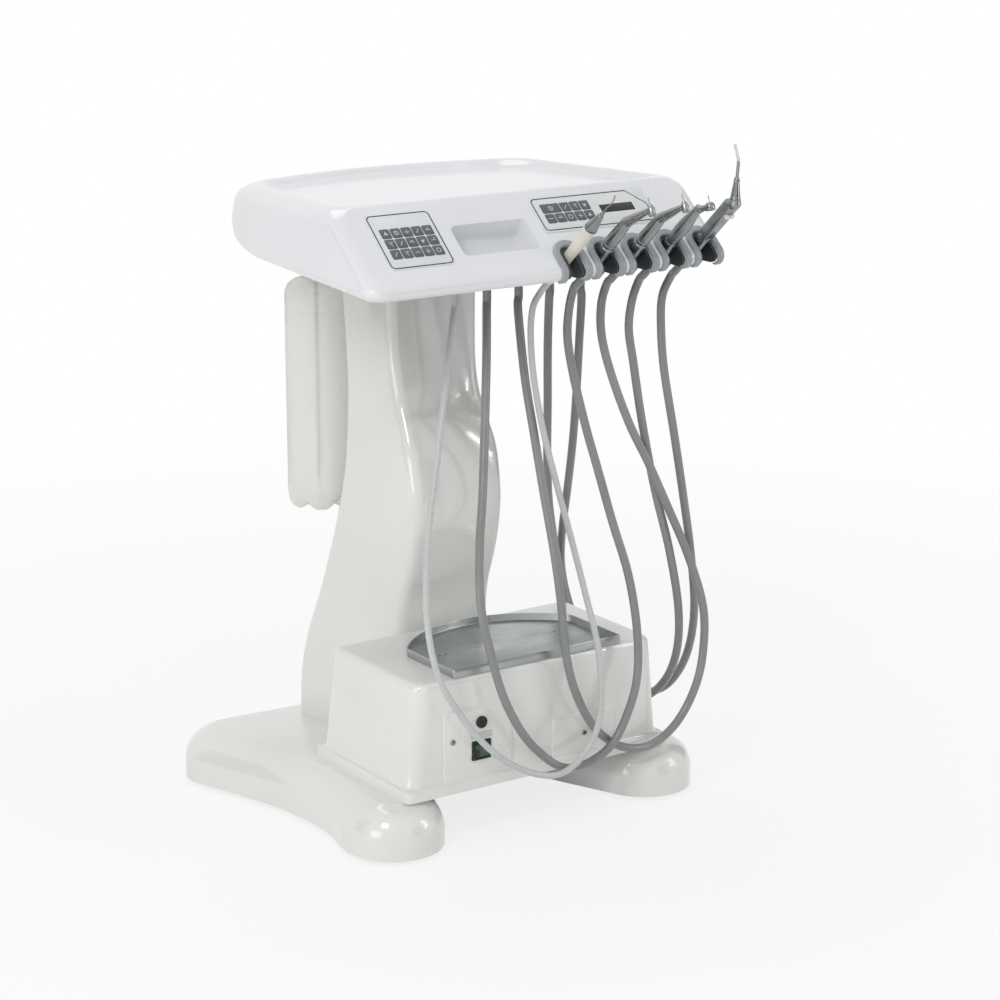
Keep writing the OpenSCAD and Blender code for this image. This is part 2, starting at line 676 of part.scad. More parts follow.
module console_pan() {
    ring = console_ring([pan_y + soft_gap, console_z], console_wall + 2 + soft_gap);
    color("#e4e4e2") difference() {
        loft([ring, [for (p = ring) p + [0, 0, pan_t]]]);
        for (k = [0:holder_count - 1]) at_holder(k) slot(slot_r, 90, 50);
        for (k = [0:holder_count - 1]) translate([gland_x(k), gland_y, console_z - 1])
            cylinder(r = gland_stem_r + 0.1, h = pan_t + 2, $fn = 48);
    }
}

// ---------------------------------------------------------------- panel fittings
module keypad(x, u, w, h) {
    on_panel() translate([x, u, 0]) rounded_plate(w, h, overlay_t, 7);
}

module keypad_left() {
    color("#dfe2e2") keypad(left_pad_x, left_pad_u, left_pad_w, left_pad_h);
}

display_x = 123;
display_u = 83;
display_w = 56;
display_h = 14;

module keypad_right() {
    color("#dfe2e2") difference() {
        keypad(right_pad_x, right_pad_u, right_pad_w, right_pad_h);
        on_panel() translate([display_x, display_u, -1]) cube([display_w, display_h, overlay_t + 2]);
    }
}

module display_window() {
    color("#20242a") on_panel() translate([display_x + 0.1, display_u + 0.1, 0])
        cube([display_w - 0.2, display_h - 0.2, overlay_t - 0.2]);
}

module control_board() {
    color("#2f6b46") translate([-60, 20, console_z + pan_t]) {
        for (x = [6, 146], y = [6, 94]) translate([x, y, 0]) cylinder(r = 3, h = 8, $fn = 24);
        translate([0, 0, 8]) cube([152, 100, 1.6]);
        translate([20, 20, 9.6]) cube([40, 26, 12]);
        translate([90, 30, 9.6]) cube([30, 50, 9]);
    }
}

module valve_block() {
    color(steel) translate([first_gland_x - 14, gland_y + 30, console_z + pan_t]) {
        cube([4 * gland_pitch + 28, 30, 26]);
        for (k = [0:holder_count - 1]) translate([14 + k * gland_pitch, 15, 26]) cylinder(r = 9, h = 12, $fn = 48);
    }
}

// ---------------------------------------------------------------- holders
// The band that follows the lip, between two distances from its surface.
module lip_band(near, far, half_w) {
    inner = concat(lip_profile(-near), [panel_profile(-near)[1]]);
    outer = concat(lip_profile(-far), [panel_profile(-far)[1]]);
    rotate([90, 0, 90]) translate([0, 0, -half_w]) linear_extrude(2 * half_w)
        polygon(concat(inner, reversed(outer)));
}

module holder_trim(k) {
    color(light_grey) intersection() {
        translate([holder_x(k), 0, 0]) lip_band(0.05, trim_t, slot_r + trim_w + 1);
        at_holder(k) difference() {
            slot(slot_r + trim_w, 34, 40);
            slot(slot_r, 60, 60);
        }
    }
}

grip_radii = [scaler_grip_r, grip_r, grip_r, grip_r, grip_r];

// Rubber channel in the slot; its open side follows the lip.
module holder_liner(k) {
    intersection() {
        at_holder(k) difference() {
            slot(slot_r - 0.05, 34, 0);
            slot(grip_radii[k] + liner_gap, 60, 60);
        }
        translate([holder_x(k), 0, 0]) rotate([90, 0, 90]) translate([0, 0, -slot_r]) linear_extrude(2 * slot_r)
            polygon(concat(lip_profile(1), [brow_profile(1)[0], [brow_centre[0], console_z + 2]]));
    }
}

module holder_liners() {
    color(dark_rubber) for (k = [0:holder_count - 1]) holder_liner(k);
}

// ---------------------------------------------------------------- instruments
// Each one is drawn along its own axis: height 0 is the holder's centre.
module scaler_handle() {
    g = scaler_grip_r;
    color("#efeee8") at_holder(0) turned([[5.6, -tail_length], [6.6, -tail_length + 3], [6.8, -45], [g, -40], [g, 0],
        [g + 1.2, 46], [g + 1.6, 60], [g + 1.4, 64]]);
}

module scaler_tip() {
    tip_r = 0.9;
    color(chrome) at_holder(0) {
        turned([[scaler_grip_r + 1, 64], [scaler_grip_r + 1, 67], [8, 70], [4.2, 92], [3, 94], [3, 98]]);
        tube(smooth_open([[0, 0, 97], [0, 0, 108], [0, -1.5, 118], [0, -1, 128], [0, 2, 134]], 3), tip_r, 8);
    }
}

motor_nose = 15;
module motor(k) {
    g = grip_r;
    color(mid_grey) at_holder(k) turned([[6.8, -tail_length], [8, -tail_length + 2], [8.4, -46], [g, -42],
        [g, motor_nose - 3], [g - 1, motor_nose - 1], [g - 1, motor_nose]]);
}

contra_start = motor_nose;
bend_z = contra_start + contra_length;
knee_r = 7.8;
head_r = 5.2;
head_h = 15;
head_z = -7;

module at_neck(k) {
    at_holder(k) translate([0, 0, bend_z]) rotate([neck_bend, 0, 0]) children();
}

module contra_angle(k) {
    g = grip_r;
    color(light_grey) difference() {
        union() {
            at_holder(k) {
                turned([[g - 0.8, contra_start], [g - 0.3, contra_start + 2], [g - 0.3, contra_start + 8],
                    [g - 1.2, contra_start + 24], [knee_r - 0.3, bend_z - 0.5]]);
                translate([0, 0, bend_z]) sphere(r = knee_r, $fn = 48);
            }
            at_neck(k) {
                turned([[knee_r - 0.3, 1], [6.6, 14], [5, neck_length - 20], [4.2, neck_length - 10], [4, neck_length]]);
                translate([0, -head_z - 1, neck_length]) rotate([90, 0, 0])
                    turned([[head_r - 2.2, 0], [head_r - 1.6, 1], [head_r, head_h - 2], [head_r - 1, head_h]]);
            }
        }
        at_neck(k) translate([0, -head_z, neck_length]) rotate([90, 0, 0])
            cylinder(r = bur_r + running_gap, h = head_h - 1, $fn = 32);
    }
}

bur_r = 1.2;
// Bur in the head of a contra-angle: shank, neck and cutting end.
module bur(k) {
    color(steel) at_neck(k) translate([0, -head_z - head_h + 1.5, neck_length]) rotate([-90, 0, 0])
        turned([[bur_r, 0], [bur_r, head_h], [0.6, head_h + 1.5], [0.6, head_h + 3.5], [1, head_h + 4.5],
            [1, head_h + 7], [0.5, head_h + 8]], 32);
}

turbine_neck = 86;
turbine_bend = 26;
turbine_head = 21;
turbine_head_r = 6.8;
module at_turbine_head() {
    at_holder(3) translate([0, -3, turbine_neck]) rotate([turbine_bend, 0, 0]) children();
}

module turbine_handpiece() {
    g = grip_r;
    color(mid_grey) difference() {
        union() {
            at_holder(3) turned([[6.8, -tail_length], [8, -tail_length + 2], [8.4, -46], [g, -42], [g, -10],
                [g - 1.2, 0], [g - 0.6, 40], [g - 2.6, 66], [6, 80], [5.2, turbine_neck]]);
            at_turbine_head() {
                sphere(r = 5.6, $fn = 48);
                turned([[4.3, -2], [4, turbine_head - 2]]);
                translate([0, 6, turbine_head]) rotate([90, 0, 0]) turned([[turbine_head_r - 3, 0],
                    [turbine_head_r - 1, 2], [turbine_head_r, 5], [turbine_head_r, 9], [turbine_head_r - 1, 11.5]]);
            }
        }
        at_turbine_head() translate([0, 7, turbine_head]) rotate([90, 0, 0])
            cylinder(r = 0.8 + running_gap, h = 10, $fn = 32);
    }
}

module bur_c() {
    color(steel) at_turbine_head() translate([0, -2.5, turbine_head]) rotate([-90, 0, 0])
        turned([[0.8, 0], [0.8, 10], [0.5, 11.5], [0.5, 14], [0.9, 15], [0.9, 17], [0.4, 17.5]], 32);
}

syringe_head = 86;
syringe_half = 9;
nozzle_seat = 5;
button_r = 3.6;
button_z = [70, 80];
button_x = [-4.6, 4.6];

module syringe_body() {
    g = grip_r;
    color(mid_grey) difference() {
        union() {
            at_holder(4) {
                turned([[6.8, -tail_length], [8, -tail_length + 2], [8.4, -46], [g, -42], [g, 12], [g - 1, 16]]);
                translate([-syringe_half, -syringe_half, 10]) rounded_bar(2 * syringe_half, 2 * syringe_half, syringe_head, 4);
            }
            at_nozzle() {
                difference() {
                    sphere(r = syringe_half, $fn = 48);
                    translate([0, 0, nozzle_seat]) cylinder(r = 2 * syringe_half, h = syringe_half, $fn = 32);
                }
                turned([[8.2, 0], [8.2, 4], [7.6, nozzle_seat]]);
            }
        }
        for (i = [0, 1]) at_button(i) {
            translate([0, 0, -button_travel - 2.1]) cylinder(r = button_r + running_gap, h = 20, $fn = 48);
            translate([0, 0, -7]) cylinder(r = 1.6, h = 5, $fn = 32);
        }
    }
}

// A square bar with round edges standing on z = 0.
module rounded_bar(w, d, h, r) {
    linear_extrude(h - 10) union() {
        translate([r, 0]) square([w - 2 * r, d]);
        translate([0, r]) square([w, d - 2 * r]);
        for (x = [r, w - r], y = [r, d - r]) translate([x, y]) circle(r, $fn = 32);
    }
}

module at_nozzle() {
    at_holder(4) translate([0, -3, syringe_head + 5]) rotate([6 - lean, 0, 0]) children();
}

module at_button(i) {
    at_holder(4) translate([button_x[i] * 0.9, -syringe_half, syringe_head - 16]) rotate([90, 0, 0]) children();
}

module syringe_nozzle() {
    color(chrome) at_nozzle() {
        turned([[7.4, nozzle_seat + running_gap], [7.6, 6], [7.4, 8], [3.6, 35], [3, 36]]);
        tube(smooth_open([[0, 0, 35], [0, 0, 48], [0, 0, 57], [0, 2, 63], [0, 10.5, 78.5]], 3), 2.2, 8);
    }
}

module syringe_button(i) {
    color(white) at_button(i) turned([[1.4, -4 - soft_gap + 1], [1.4, -2], [button_r, -1.8], [button_r, 3], [button_r - 0.8, 4]]);
}

// ---------------------------------------------------------------- hoses
function gland_x(k) = first_gland_x + k * gland_pitch;
gland_stem_r = 7;
hose_radii = [cable_r, hose_r, hose_r, hose_r, hose_r];

// Where a hose leaves its instrument's tail, and the direction it leaves in.
tail_gap = 0.2;
tail_yz = holder_yz + tail_length * [sin(lean), -cos(lean)];
function tail_point(k, further) = [holder_x(k), tail_yz[0] + further * sin(lean), tail_yz[1] - further * cos(lean)];
function gland_point(k, lower) = [gland_x(k), gland_y, console_z - gland_h - lower];

// Hanging routes, chosen by hand between the tail and the gland.
hose_routes = [
    [[25, -120, 722], [23, -118, 682], [24, -125, 623], [32, -137, 550], [46, -150, 475], [60, -165, 400], [69, -186, 326],
     [75, -207, 257], [72, -221, 194], [61, -227, 145], [35, -228, 109], [-1, -228, 91], [-43, -228, 99],
     [-91, -228, 126], [-132, -226, 164], [-162, -219, 206], [-186, -210, 252], [-194, -196, 306],
     [-188, -178, 370], [-168, -155, 450], [-142, -134, 525], [-112, -108, 610], [-86, -84, 685], [-72, -73, 722]],
    [[85, -121, 715], [84, -119, 675], [90, -124, 625], [102, -136, 555], [116, -148, 490], [132, -162, 415],
     [146, -182, 340], [150, -198, 265], [144, -208, 200], [126, -211, 150], [96, -213, 108], [54, -213, 90],
     [14, -213, 92], [-20, -212, 116], [-54, -212, 154], [-82, -208, 208], [-98, -200, 270], [-105, -185, 340],
     [-94, -166, 412], [-76, -147, 480], [-54, -120, 565], [-34, -95, 655], [-20, -75, 718]],
    [[139, -122, 715], [142, -119, 672], [154, -125, 618], [175, -141, 546], [199, -154, 490], [225, -167, 424],
     [255, -178, 350], [273, -192, 274], [270, -197, 207], [255, -198, 156], [224, -198, 112], [182, -199, 89],
     [142, -199, 90], [106, -198, 107], [71, -198, 142], [43, -198, 195], [28, -196, 254], [25, -190, 319],
     [24, -174, 390], [23, -150, 470], [23, -126, 550], [23, -104, 625], [30, -78, 710]],
    [[192, -122, 715], [190, -118, 675], [194, -124, 628], [203, -134, 544], [217, -147, 448], [233, -162, 360],
     [248, -166, 275], [264, -146, 205], [268, -118, 150], [262, -80, 112], [252, -36, 100], [244, 10, 112],
     [238, 48, 146], [232, 72, 190], [222, 77, 240], [203, 66, 292], [178, 44, 346], [153, 20, 406],
     [133, -4, 477], [114, -31, 562], [98, -53, 645], [89, -68, 714]],
    [[245, -122, 715], [246, -119, 672], [247, -126, 612], [256, -140, 520], [268, -148, 430], [284, -148, 340],
     [300, -138, 250], [308, -112, 175], [304, -76, 122], [294, -34, 98], [284, 14, 96], [276, 58, 118],
     [266, 90, 160], [252, 104, 210], [234, 96, 258], [216, 76, 300], [203, 54, 350], [190, 25, 413],
     [177, -5, 490], [164, -31, 567], [152, -53, 645], [144, -69, 713]]
];

function hose_path(k) = smooth_open(concat(
    [tail_point(k, tail_gap), tail_point(k, 14), tail_point(k, 28)], hose_routes[k],
    [gland_point(k, 22), gland_point(k, 10), gland_point(k, 0)]), 2);

module hose(k) {
    color(k == 0 ? "#c9cccb" : "#9a9d9e") tube(hose_path(k), hose_radii[k], 8);
}

module hose_glands() {
    color(mid_grey) for (k = [0:holder_count - 1]) translate([gland_x(k), gland_y, 0]) {
        translate([0, 0, console_z - gland_h])
            turned([[hose_r + 1, 0], [hose_r + 2.5, 10], [hose_r + 4, gland_h - 6], [hose_r + 4, gland_h]]);
        translate([0, 0, console_z - 1]) cylinder(r = gland_stem_r, h = pan_t + 4, $fn = 48);
    }
}

// ---------------------------------------------------------------- bottle
bottle_shoulder_z = 697;
// Height from the shoulder to where the straight neck starts
neck_rise = 31;
neck_r = 15;
neck_top = 742;
cap_r = 21;
hanger_z = console_z + 6;

// Outside of the bottle, drawn in by d.
function bottle_profile(d) = [[neck_r * 1.2 - d, bottle_z + 6 + d], [bottle_r - 10 - d, bottle_z + d],
    [bottle_r - 2 - d, bottle_z + 12 + d], [bottle_r - d, bottle_z + 24], [bottle_r - d, bottle_shoulder_z],
    [bottle_r - 2 - d, bottle_shoulder_z + 12 - d * 0.3], [bottle_r - 10 - d, bottle_shoulder_z + 22 - d * 0.6],
    [neck_r + 5 - d, bottle_shoulder_z + 28 - d * 0.8], [neck_r - d, bottle_shoulder_z + neck_rise - d * 0.8]];

module water_bottle() {
    color("#e8ecea") translate([bottle_x, bottle_y, 0]) rotate_extrude($fn = 64) polygon(concat(
        [[0, bottle_z + 8]], bottle_profile(0), [[neck_r, neck_top], [neck_r - bottle_wall, neck_top]],
        reversed(bottle_profile(bottle_wall)), [[0, bottle_z + 8 + bottle_wall]]));
}

module bottle_cap() {
    low = bottle_shoulder_z + neck_rise + soft_gap;
    tube_r = 3;
    color(light_grey) translate([bottle_x, bottle_y, 0]) {
        difference() {
            translate([0, 0, low]) cylinder(r = cap_r, h = hanger_z - low, $fn = 64);
            translate([0, 0, low - 1]) cylinder(r = neck_r + soft_gap, h = neck_top - low + 1 + soft_gap, $fn = 64);
        }
        translate([0, 0, bottle_z + 40]) cylinder(r = tube_r, h = neck_top - bottle_z - 30, $fn = 32);
    }
}

// ---------------------------------------------------------------- parts
// Everything moves back or forward so that the origin is under the middle.
front_reach_y = holder_yz[0] - bend_z * sin(lean) - neck_length * sin(lean + neck_bend)
    + head_z * cos(lean + neck_bend) - head_r * sin(lean + neck_bend) + 0.1;
origin_y = -(base_back_y + front_reach_y) / 2;

translate([0, origin_y, 0]) {
base_shell();
base_frame();
castor_fork(foot_centres[0]);  // castor_fork_fl
castor_fork(foot_centres[1]);  // castor_fork_fr
castor_fork(foot_centres[2]);  // castor_fork_rl
castor_fork(foot_centres[3]);  // castor_fork_rr
castor_wheel(foot_centres[0]);  // castor_wheel_fl
castor_wheel(foot_centres[1]);  // castor_wheel_fr
castor_wheel(foot_centres[2]);  // castor_wheel_rl
castor_wheel(foot_centres[3]);  // castor_wheel_rr
box_shell();
box_floor();
power_supply();
pressure_regulator();
switch_bezel();
switch_rocker();
fuse_holder();
name_plate();
box_screws();
mains_inlet();
air_fitting();
tray();
tray_rivets();
column_shell();
column_post();
console_shell();
console_pan();
keypad_left();
keypad_right();
display_window();
control_board();
valve_block();
holder_trim(0);  // holder_trim_1
holder_trim(1);  // holder_trim_2
holder_trim(2);  // holder_trim_3
holder_trim(3);  // holder_trim_4
holder_trim(4);  // holder_trim_5
holder_liners();
scaler_handle();
scaler_tip();
motor(1);  // motor_a
contra_angle(1);  // contra_angle_a
bur(1);  // bur_a
motor(2);  // motor_b
contra_angle(2);  // contra_angle_b
bur(2);  // bur_b
turbine_handpiece();
bur_c();
syringe_body();
syringe_nozzle();
syringe_button(0);  // air_button
syringe_button(1);  // water_button
hose(0);  // hose_1
hose(1);  // hose_2
hose(2);  // hose_3
hose(3);  // hose_4
hose(4);  // hose_5
hose_glands();
water_bottle();
bottle_cap();
}
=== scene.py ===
"""Looks of the mobile dental delivery unit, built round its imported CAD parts.

Lengths are in millimetres along the part source's own axes: X to the
operator's right, Y away from the operator, Z up. place() adds the shift with
which the source puts the origin mid-unit, and turns them into metres. The
profile of a turned piece is a list of (radius, height).
"""

import math

import bmesh
import bpy
from mathutils import Matrix, Vector


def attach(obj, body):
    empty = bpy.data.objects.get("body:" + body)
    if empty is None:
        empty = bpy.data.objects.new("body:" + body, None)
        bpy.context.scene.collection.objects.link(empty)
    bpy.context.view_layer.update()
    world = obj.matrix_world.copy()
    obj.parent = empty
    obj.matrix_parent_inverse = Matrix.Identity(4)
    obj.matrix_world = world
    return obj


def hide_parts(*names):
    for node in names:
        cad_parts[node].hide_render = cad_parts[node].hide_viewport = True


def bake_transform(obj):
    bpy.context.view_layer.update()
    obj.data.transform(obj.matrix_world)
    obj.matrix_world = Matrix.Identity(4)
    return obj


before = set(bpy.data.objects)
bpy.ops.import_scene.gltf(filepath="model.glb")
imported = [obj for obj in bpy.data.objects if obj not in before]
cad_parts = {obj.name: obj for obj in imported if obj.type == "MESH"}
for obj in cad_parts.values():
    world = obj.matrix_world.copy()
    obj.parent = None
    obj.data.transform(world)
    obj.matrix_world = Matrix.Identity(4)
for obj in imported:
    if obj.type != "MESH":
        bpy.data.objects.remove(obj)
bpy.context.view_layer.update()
scene = bpy.context.scene
scene.view_settings.view_transform = "Standard"

MM = 0.001
SHIFT_Y = -5.0797


def place(x, y, z):
    return Vector((x, y + SHIFT_Y, z)) * MM


# ---------------- camera
CAMERA_AT = (-2.05897, -3.07551, 1.40059)
CAMERA_AIM = Vector((0.5483, 0.7969, -0.2538))
SENSOR_WIDTH, FOCAL_LENGTH, FAR_CLIP = 36, 97.47, 60


def photo_camera():
    """The camera that was solved from the photo's edges."""
    view = bpy.data.cameras.new("camera")
    view.sensor_width = SENSOR_WIDTH
    view.lens = FOCAL_LENGTH
    view.clip_end = FAR_CLIP
    camera = bpy.data.objects.new("camera", view)
    scene.collection.objects.link(camera)
    scene.camera = camera
    camera.location = CAMERA_AT
    camera.rotation_mode = "QUATERNION"
    camera.rotation_quaternion = CAMERA_AIM.to_track_quat("-Z", "Y")


# ---------------- materials
# Noise seldom leaves this span, so the span is what a range is spread over.
NOISE_SPAN = {"From Min": 0.3, "From Max": 0.7}


def srgb(hex_colour):
    """sRGB hex to linear RGBA."""
    channels = [int(hex_colour[i : i + 2], 16) / 255 for i in (1, 3, 5)]
    linear = [c / 12.92 if c <= 0.04045 else ((c + 0.055) / 1.055) ** 2.4 for c in channels]
    return (*linear, 1)


def node(tree, kind, sockets=None, **settings):
    """Adds a node. A socket takes a value or another node's output."""
    made = tree.nodes.new("ShaderNode" + kind)
    for key, value in settings.items():
        setattr(made, key, value)
    for key, value in (sockets or {}).items():
        if isinstance(value, bpy.types.NodeSocket):
            tree.links.new(value, made.inputs[key])
        else:
            made.inputs[key].default_value = value
    return made


def material(name, sockets):
    """A new material with these values on its shader's plain sockets."""
    made = bpy.data.materials.new(name)
    made.use_nodes = True
    tree = made.node_tree
    tree.nodes.clear()
    surface = node(tree, "BsdfPrincipled", sockets)
    node(tree, "OutputMaterial", {"Surface": surface.outputs[0]})
    return made, tree, surface


def pattern(tree, size_mm, detail=3.0, stretch=(1, 1, 1), roughness=0.5):
    """Uneven spots about size_mm across, drawn out along the axes whose
    stretch is below 1."""
    coordinates = node(tree, "TexCoord").outputs["Object"]
    drawn_out = node(tree, "Mapping", {"Vector": coordinates, "Scale": stretch}).outputs[0]
    sockets = {"Vector": drawn_out, "Scale": 1 / (size_mm * MM), "Detail": detail, "Roughness": roughness}
    return node(tree, "TexNoise", sockets).outputs["Fac"]


def laid(tree, surface, colours, cloud, gloss, low, high, relief=None, depth_mm=0.0, strength=1.0):
    """Lays a finish on a shader: the cloud pattern drifts its colour between
    two near tones, the gloss pattern takes its roughness from low to high,
    and relief is pressed into it depth_mm deep."""
    tone = node(tree, "MapRange", {"Value": cloud, **NOISE_SPAN})
    tones = {0: tone.outputs[0], 6: srgb(colours[0]), 7: srgb(colours[1])}
    mixed = node(tree, "Mix", tones, data_type="RGBA")
    tree.links.new(mixed.outputs[2], surface.inputs["Base Color"])
    shine = node(tree, "MapRange", {"Value": gloss, **NOISE_SPAN, "To Min": low, "To Max": high})
    tree.links.new(shine.outputs[0], surface.inputs["Roughness"])
    if relief is not None:
        bump = node(tree, "Bump", {"Height": relief, "Distance": depth_mm * MM, "Strength": strength})
        tree.links.new(bump.outputs[0], surface.inputs["Normal"])


def moulded_abs(name, colours, low, high, coat):
    """Gelcoat-glossy moulding: nearly even white, faint clouding, a long wave
    in the surface that bends reflections, and wiping haze in the gloss."""
    gelcoat = {"IOR": 1.53, "Coat Weight": coat, "Coat Roughness": 0.03, "Coat IOR": 1.5}
    made, tree, surface = material(name, gelcoat)
    wipe = pattern(tree, 45, 4, (1, 1, 0.35))
    laid(tree, surface, colours, pattern(tree, 160, 2), wipe, low, high, pattern(tree, 38, 1), 0.25, 0.5)
    return made


CONSOLE_ABS = moulded_abs("moulded_abs_cool_white", ("#eeeff2", "#e8eaed"), 0.16, 0.24, 0.4)
BASE_ABS = moulded_abs("moulded_abs_warm_white", ("#f0f1ed", "#eaebe6"), 0.15, 0.22, 0.5)
# The column is the glossiest moulding: its waist shows thin bright streaks.
COLUMN_ABS = moulded_abs("moulded_abs_column_white", ("#f0f1ed", "#eaebe6"), 0.1, 0.16, 0.7)


GLOW_DEPTH = (0.004, 0.004, 0.004)


def satin_silicone(name, colours, roughness, translucent=0.0):
    """Extruded silicone or soft PVC: satin, faint bloom along its length."""
    glow = {"Subsurface Weight": translucent, "Subsurface Radius": GLOW_DEPTH, "Subsurface Scale": 1.0}
    made, tree, surface = material(name, {"IOR": 1.45, **glow})
    bloom = pattern(tree, 26, 4, (1, 1, 0.25))
    low, high = roughness - 0.05, roughness + 0.07
    laid(tree, surface, colours, bloom, pattern(tree, 9), low, high, pattern(tree, 1.2, 2), 0.05, 0.5)
    return made


HOSE_GREY = satin_silicone("silicone_hose_grey", ("#959696", "#8b8c8c"), 0.2)
CABLE_LIGHT = satin_silicone("pvc_cable_light", ("#cfd2d1", "#c6cac9"), 0.26, 0.1)
TRIM_SILICONE = satin_silicone("silicone_trim_light", ("#a3aaae", "#999fa4"), 0.24)
LINER_RUBBER = satin_silicone("nitrile_liner_dark", ("#3a3d3f", "#313436"), 0.5)
GLAND_NYLON = satin_silicone("nylon_gland_grey", ("#a9adaf", "#9ea2a4"), 0.4)
WHEEL_RUBBER = satin_silicone("castor_tread_rubber", ("#35373a", "#2b2d2f"), 0.6)


def machined(name, colours, low, high, lines_mm, axis=2):
    """Turned or blasted metal: fine tool lines, level ones by default. Real
    lines are finer, and lines_mm is as coarse as they need to show."""
    made, tree, surface = material(name, {"Metallic": 1.0})
    stretch = [0.12, 0.12, 0.12]
    stretch[axis] = 1
    lines = pattern(tree, lines_mm, 3, stretch)
    laid(tree, surface, colours, pattern(tree, 14), lines, low, high, lines, 0.004, 0.2)
    return made


MOTOR_SATIN = machined("anodised_aluminium_grey", ("#9a9d9d", "#909393"), 0.28, 0.34, 0.5)
ANGLE_NICKEL = machined("satin_nickel_plate", ("#9a9c9c", "#8f9191"), 0.18, 0.23, 0.5)
POLISHED = machined("polished_chrome_plate", ("#8e9091", "#858788"), 0.06, 0.1, 2.0)
BUR_STEEL = machined("tungsten_carbide", ("#9da1a4", "#8b8f93"), 0.22, 0.36, 0.4)
ZINC = machined("zinc_plated_steel", ("#a5a9ab", "#93989b"), 0.3, 0.45, 3.0)
BRASS_NICKEL = machined("nickel_plated_brass", ("#c3bda6", "#b6ae93"), 0.22, 0.34, 1.0, axis=1)


def brushed_stainless():
    """Brushed stainless sheet: long straight grain, clouded by wiping."""
    made, tree, surface = material("brushed_stainless", {"Metallic": 1.0, "Anisotropic": 0.55})
    grain = pattern(tree, 0.9, 4, (0.02, 1, 1), 0.6)
    cloud = pattern(tree, 60)
    laid(tree, surface, ("#b4b7b7", "#a2a6a6"), cloud, cloud, 0.2, 0.32, grain, 0.02, 0.3)
    wiped = surface.inputs["Roughness"].links[0].from_socket
    combed = node(tree, "MapRange", {"Value": grain, **NOISE_SPAN, "To Min": 0, "To Max": 0.12})
    both = node(tree, "Math", {0: combed.outputs[0], 1: wiped}, operation="ADD")
    tree.links.new(both.outputs[0], surface.inputs["Roughness"])
    return made


TRAY_STEEL = brushed_stainless()


def powder_coat(name, colours):
    """Powder coat: even colour under a fine orange-peel skin."""
    made, tree, surface = material(name, {"IOR": 1.5})
    peel = pattern(tree, 1.6, 2)
    laid(tree, surface, colours, pattern(tree, 50, 2), peel, 0.38, 0.5, peel, 0.1, 0.4)
    return made


FRAME_COAT = powder_coat("powder_coat_grey", ("#565a5d", "#4d5154"))
CASE_COAT = powder_coat("powder_coat_case", ("#8b8f92", "#808487"))
FLAG_CLOTH = powder_coat("flag_cloth_black", ("#2c2d2e", "#262728"))


def textured_plastic(name, colours, low, high, grain_mm=0.6, coat=0.0):
    """Spark-eroded moulding: a fine even grain that breaks the highlight.
    The real grain is finer, and grain_mm is as coarse as it needs to show."""
    made, tree, surface = material(name, {"IOR": 1.49, "Coat Weight": coat, "Coat Roughness": 0.1})
    grain = pattern(tree, grain_mm, 2)
    laid(tree, surface, colours, pattern(tree, 20, 2), grain, low, high, grain, 0.04, 0.4)
    return made


BLACK_PLASTIC = textured_plastic("glass_filled_nylon_black", ("#121314", "#0d0e0f"), 0.3, 0.42)
ROCKER_PLASTIC = textured_plastic("rocker_polycarbonate", ("#2c4f45", "#24443b"), 0.16, 0.24, 1.5, 0.4)
PLATE_BLANK = textured_plastic("blank_label_polyester", ("#d9d9d4", "#cfcfca"), 0.35, 0.45)
PAN_SHEET = textured_plastic("pan_sheet_white", ("#e4e4e1", "#dcdcd9"), 0.35, 0.48, 1.2)
OVERLAY = textured_plastic("printed_polyester_overlay", ("#e6e8ea", "#dfe2e4"), 0.26, 0.36, 0.8)
OVERLAY_LINE = textured_plastic("overlay_print_dark", ("#25292b", "#202426"), 0.4, 0.5, 0.8)
KEY_FACE = textured_plastic("embossed_key_grey", ("#5b6062", "#525759"), 0.34, 0.44, 0.8)
KEY_ICON = textured_plastic("key_print_light", ("#c9cdce", "#c0c5c6"), 0.3, 0.4, 0.8)
DISPLAY = textured_plastic("smoked_display_window", ("#0b0c0e", "#070809"), 0.2, 0.28, 3.0, 0.1)
IVORY = textured_plastic("ivory_handle_ppsu", ("#e9e5d9", "#ded9cb"), 0.28, 0.38, 0.9, 0.1)
BUTTON_WHITE = textured_plastic("syringe_button_acetal", ("#f1f1ef", "#e8e8e5"), 0.22, 0.32, 1.0, 0.2)
BOARD = textured_plastic("circuit_board", ("#2f6b46", "#28603e"), 0.35, 0.5, 2.0)
CAP_PLASTIC = textured_plastic("ribbed_cap_polypropylene", ("#c2c7c8", "#b8bdbf"), 0.34, 0.44)


def blown_polyethylene():
    """Blown polyethylene: milky, wax-soft gloss, slightly uneven wall."""
    made, tree, surface = material("blown_polyethylene", {"IOR": 1.12, "Transmission Weight": 0.6})
    cloud, wipe = pattern(tree, 70, 3, (1, 1, 0.4)), pattern(tree, 22)
    laid(tree, surface, ("#fefefc", "#fafbf7"), cloud, wipe, 0.3, 0.42, pattern(tree, 30, 2), 0.4, 0.4)
    return made


BOTTLE_MILKY = blown_polyethylene()


def frosted_acrylic():
    """Clear disposable tip over the nozzle: frosted by its moulding."""
    made, tree, surface = material("frosted_acrylic_tip", {"IOR": 1.49, "Transmission Weight": 0.35})
    laid(tree, surface, ("#eef1f2", "#e2e6e8"), pattern(tree, 6, 2), pattern(tree, 3, 2), 0.22, 0.34)
    return made


TIP_CLEAR = frosted_acrylic()


# ---------------- pieces
def loose(name, bm):
    """A new object from a bmesh, without a finish or a body yet."""
    mesh = bpy.data.meshes.new(name)
    bm.to_mesh(mesh)
    bm.free()
    made = bpy.data.objects.new(name, mesh)
    scene.collection.objects.link(made)
    return made


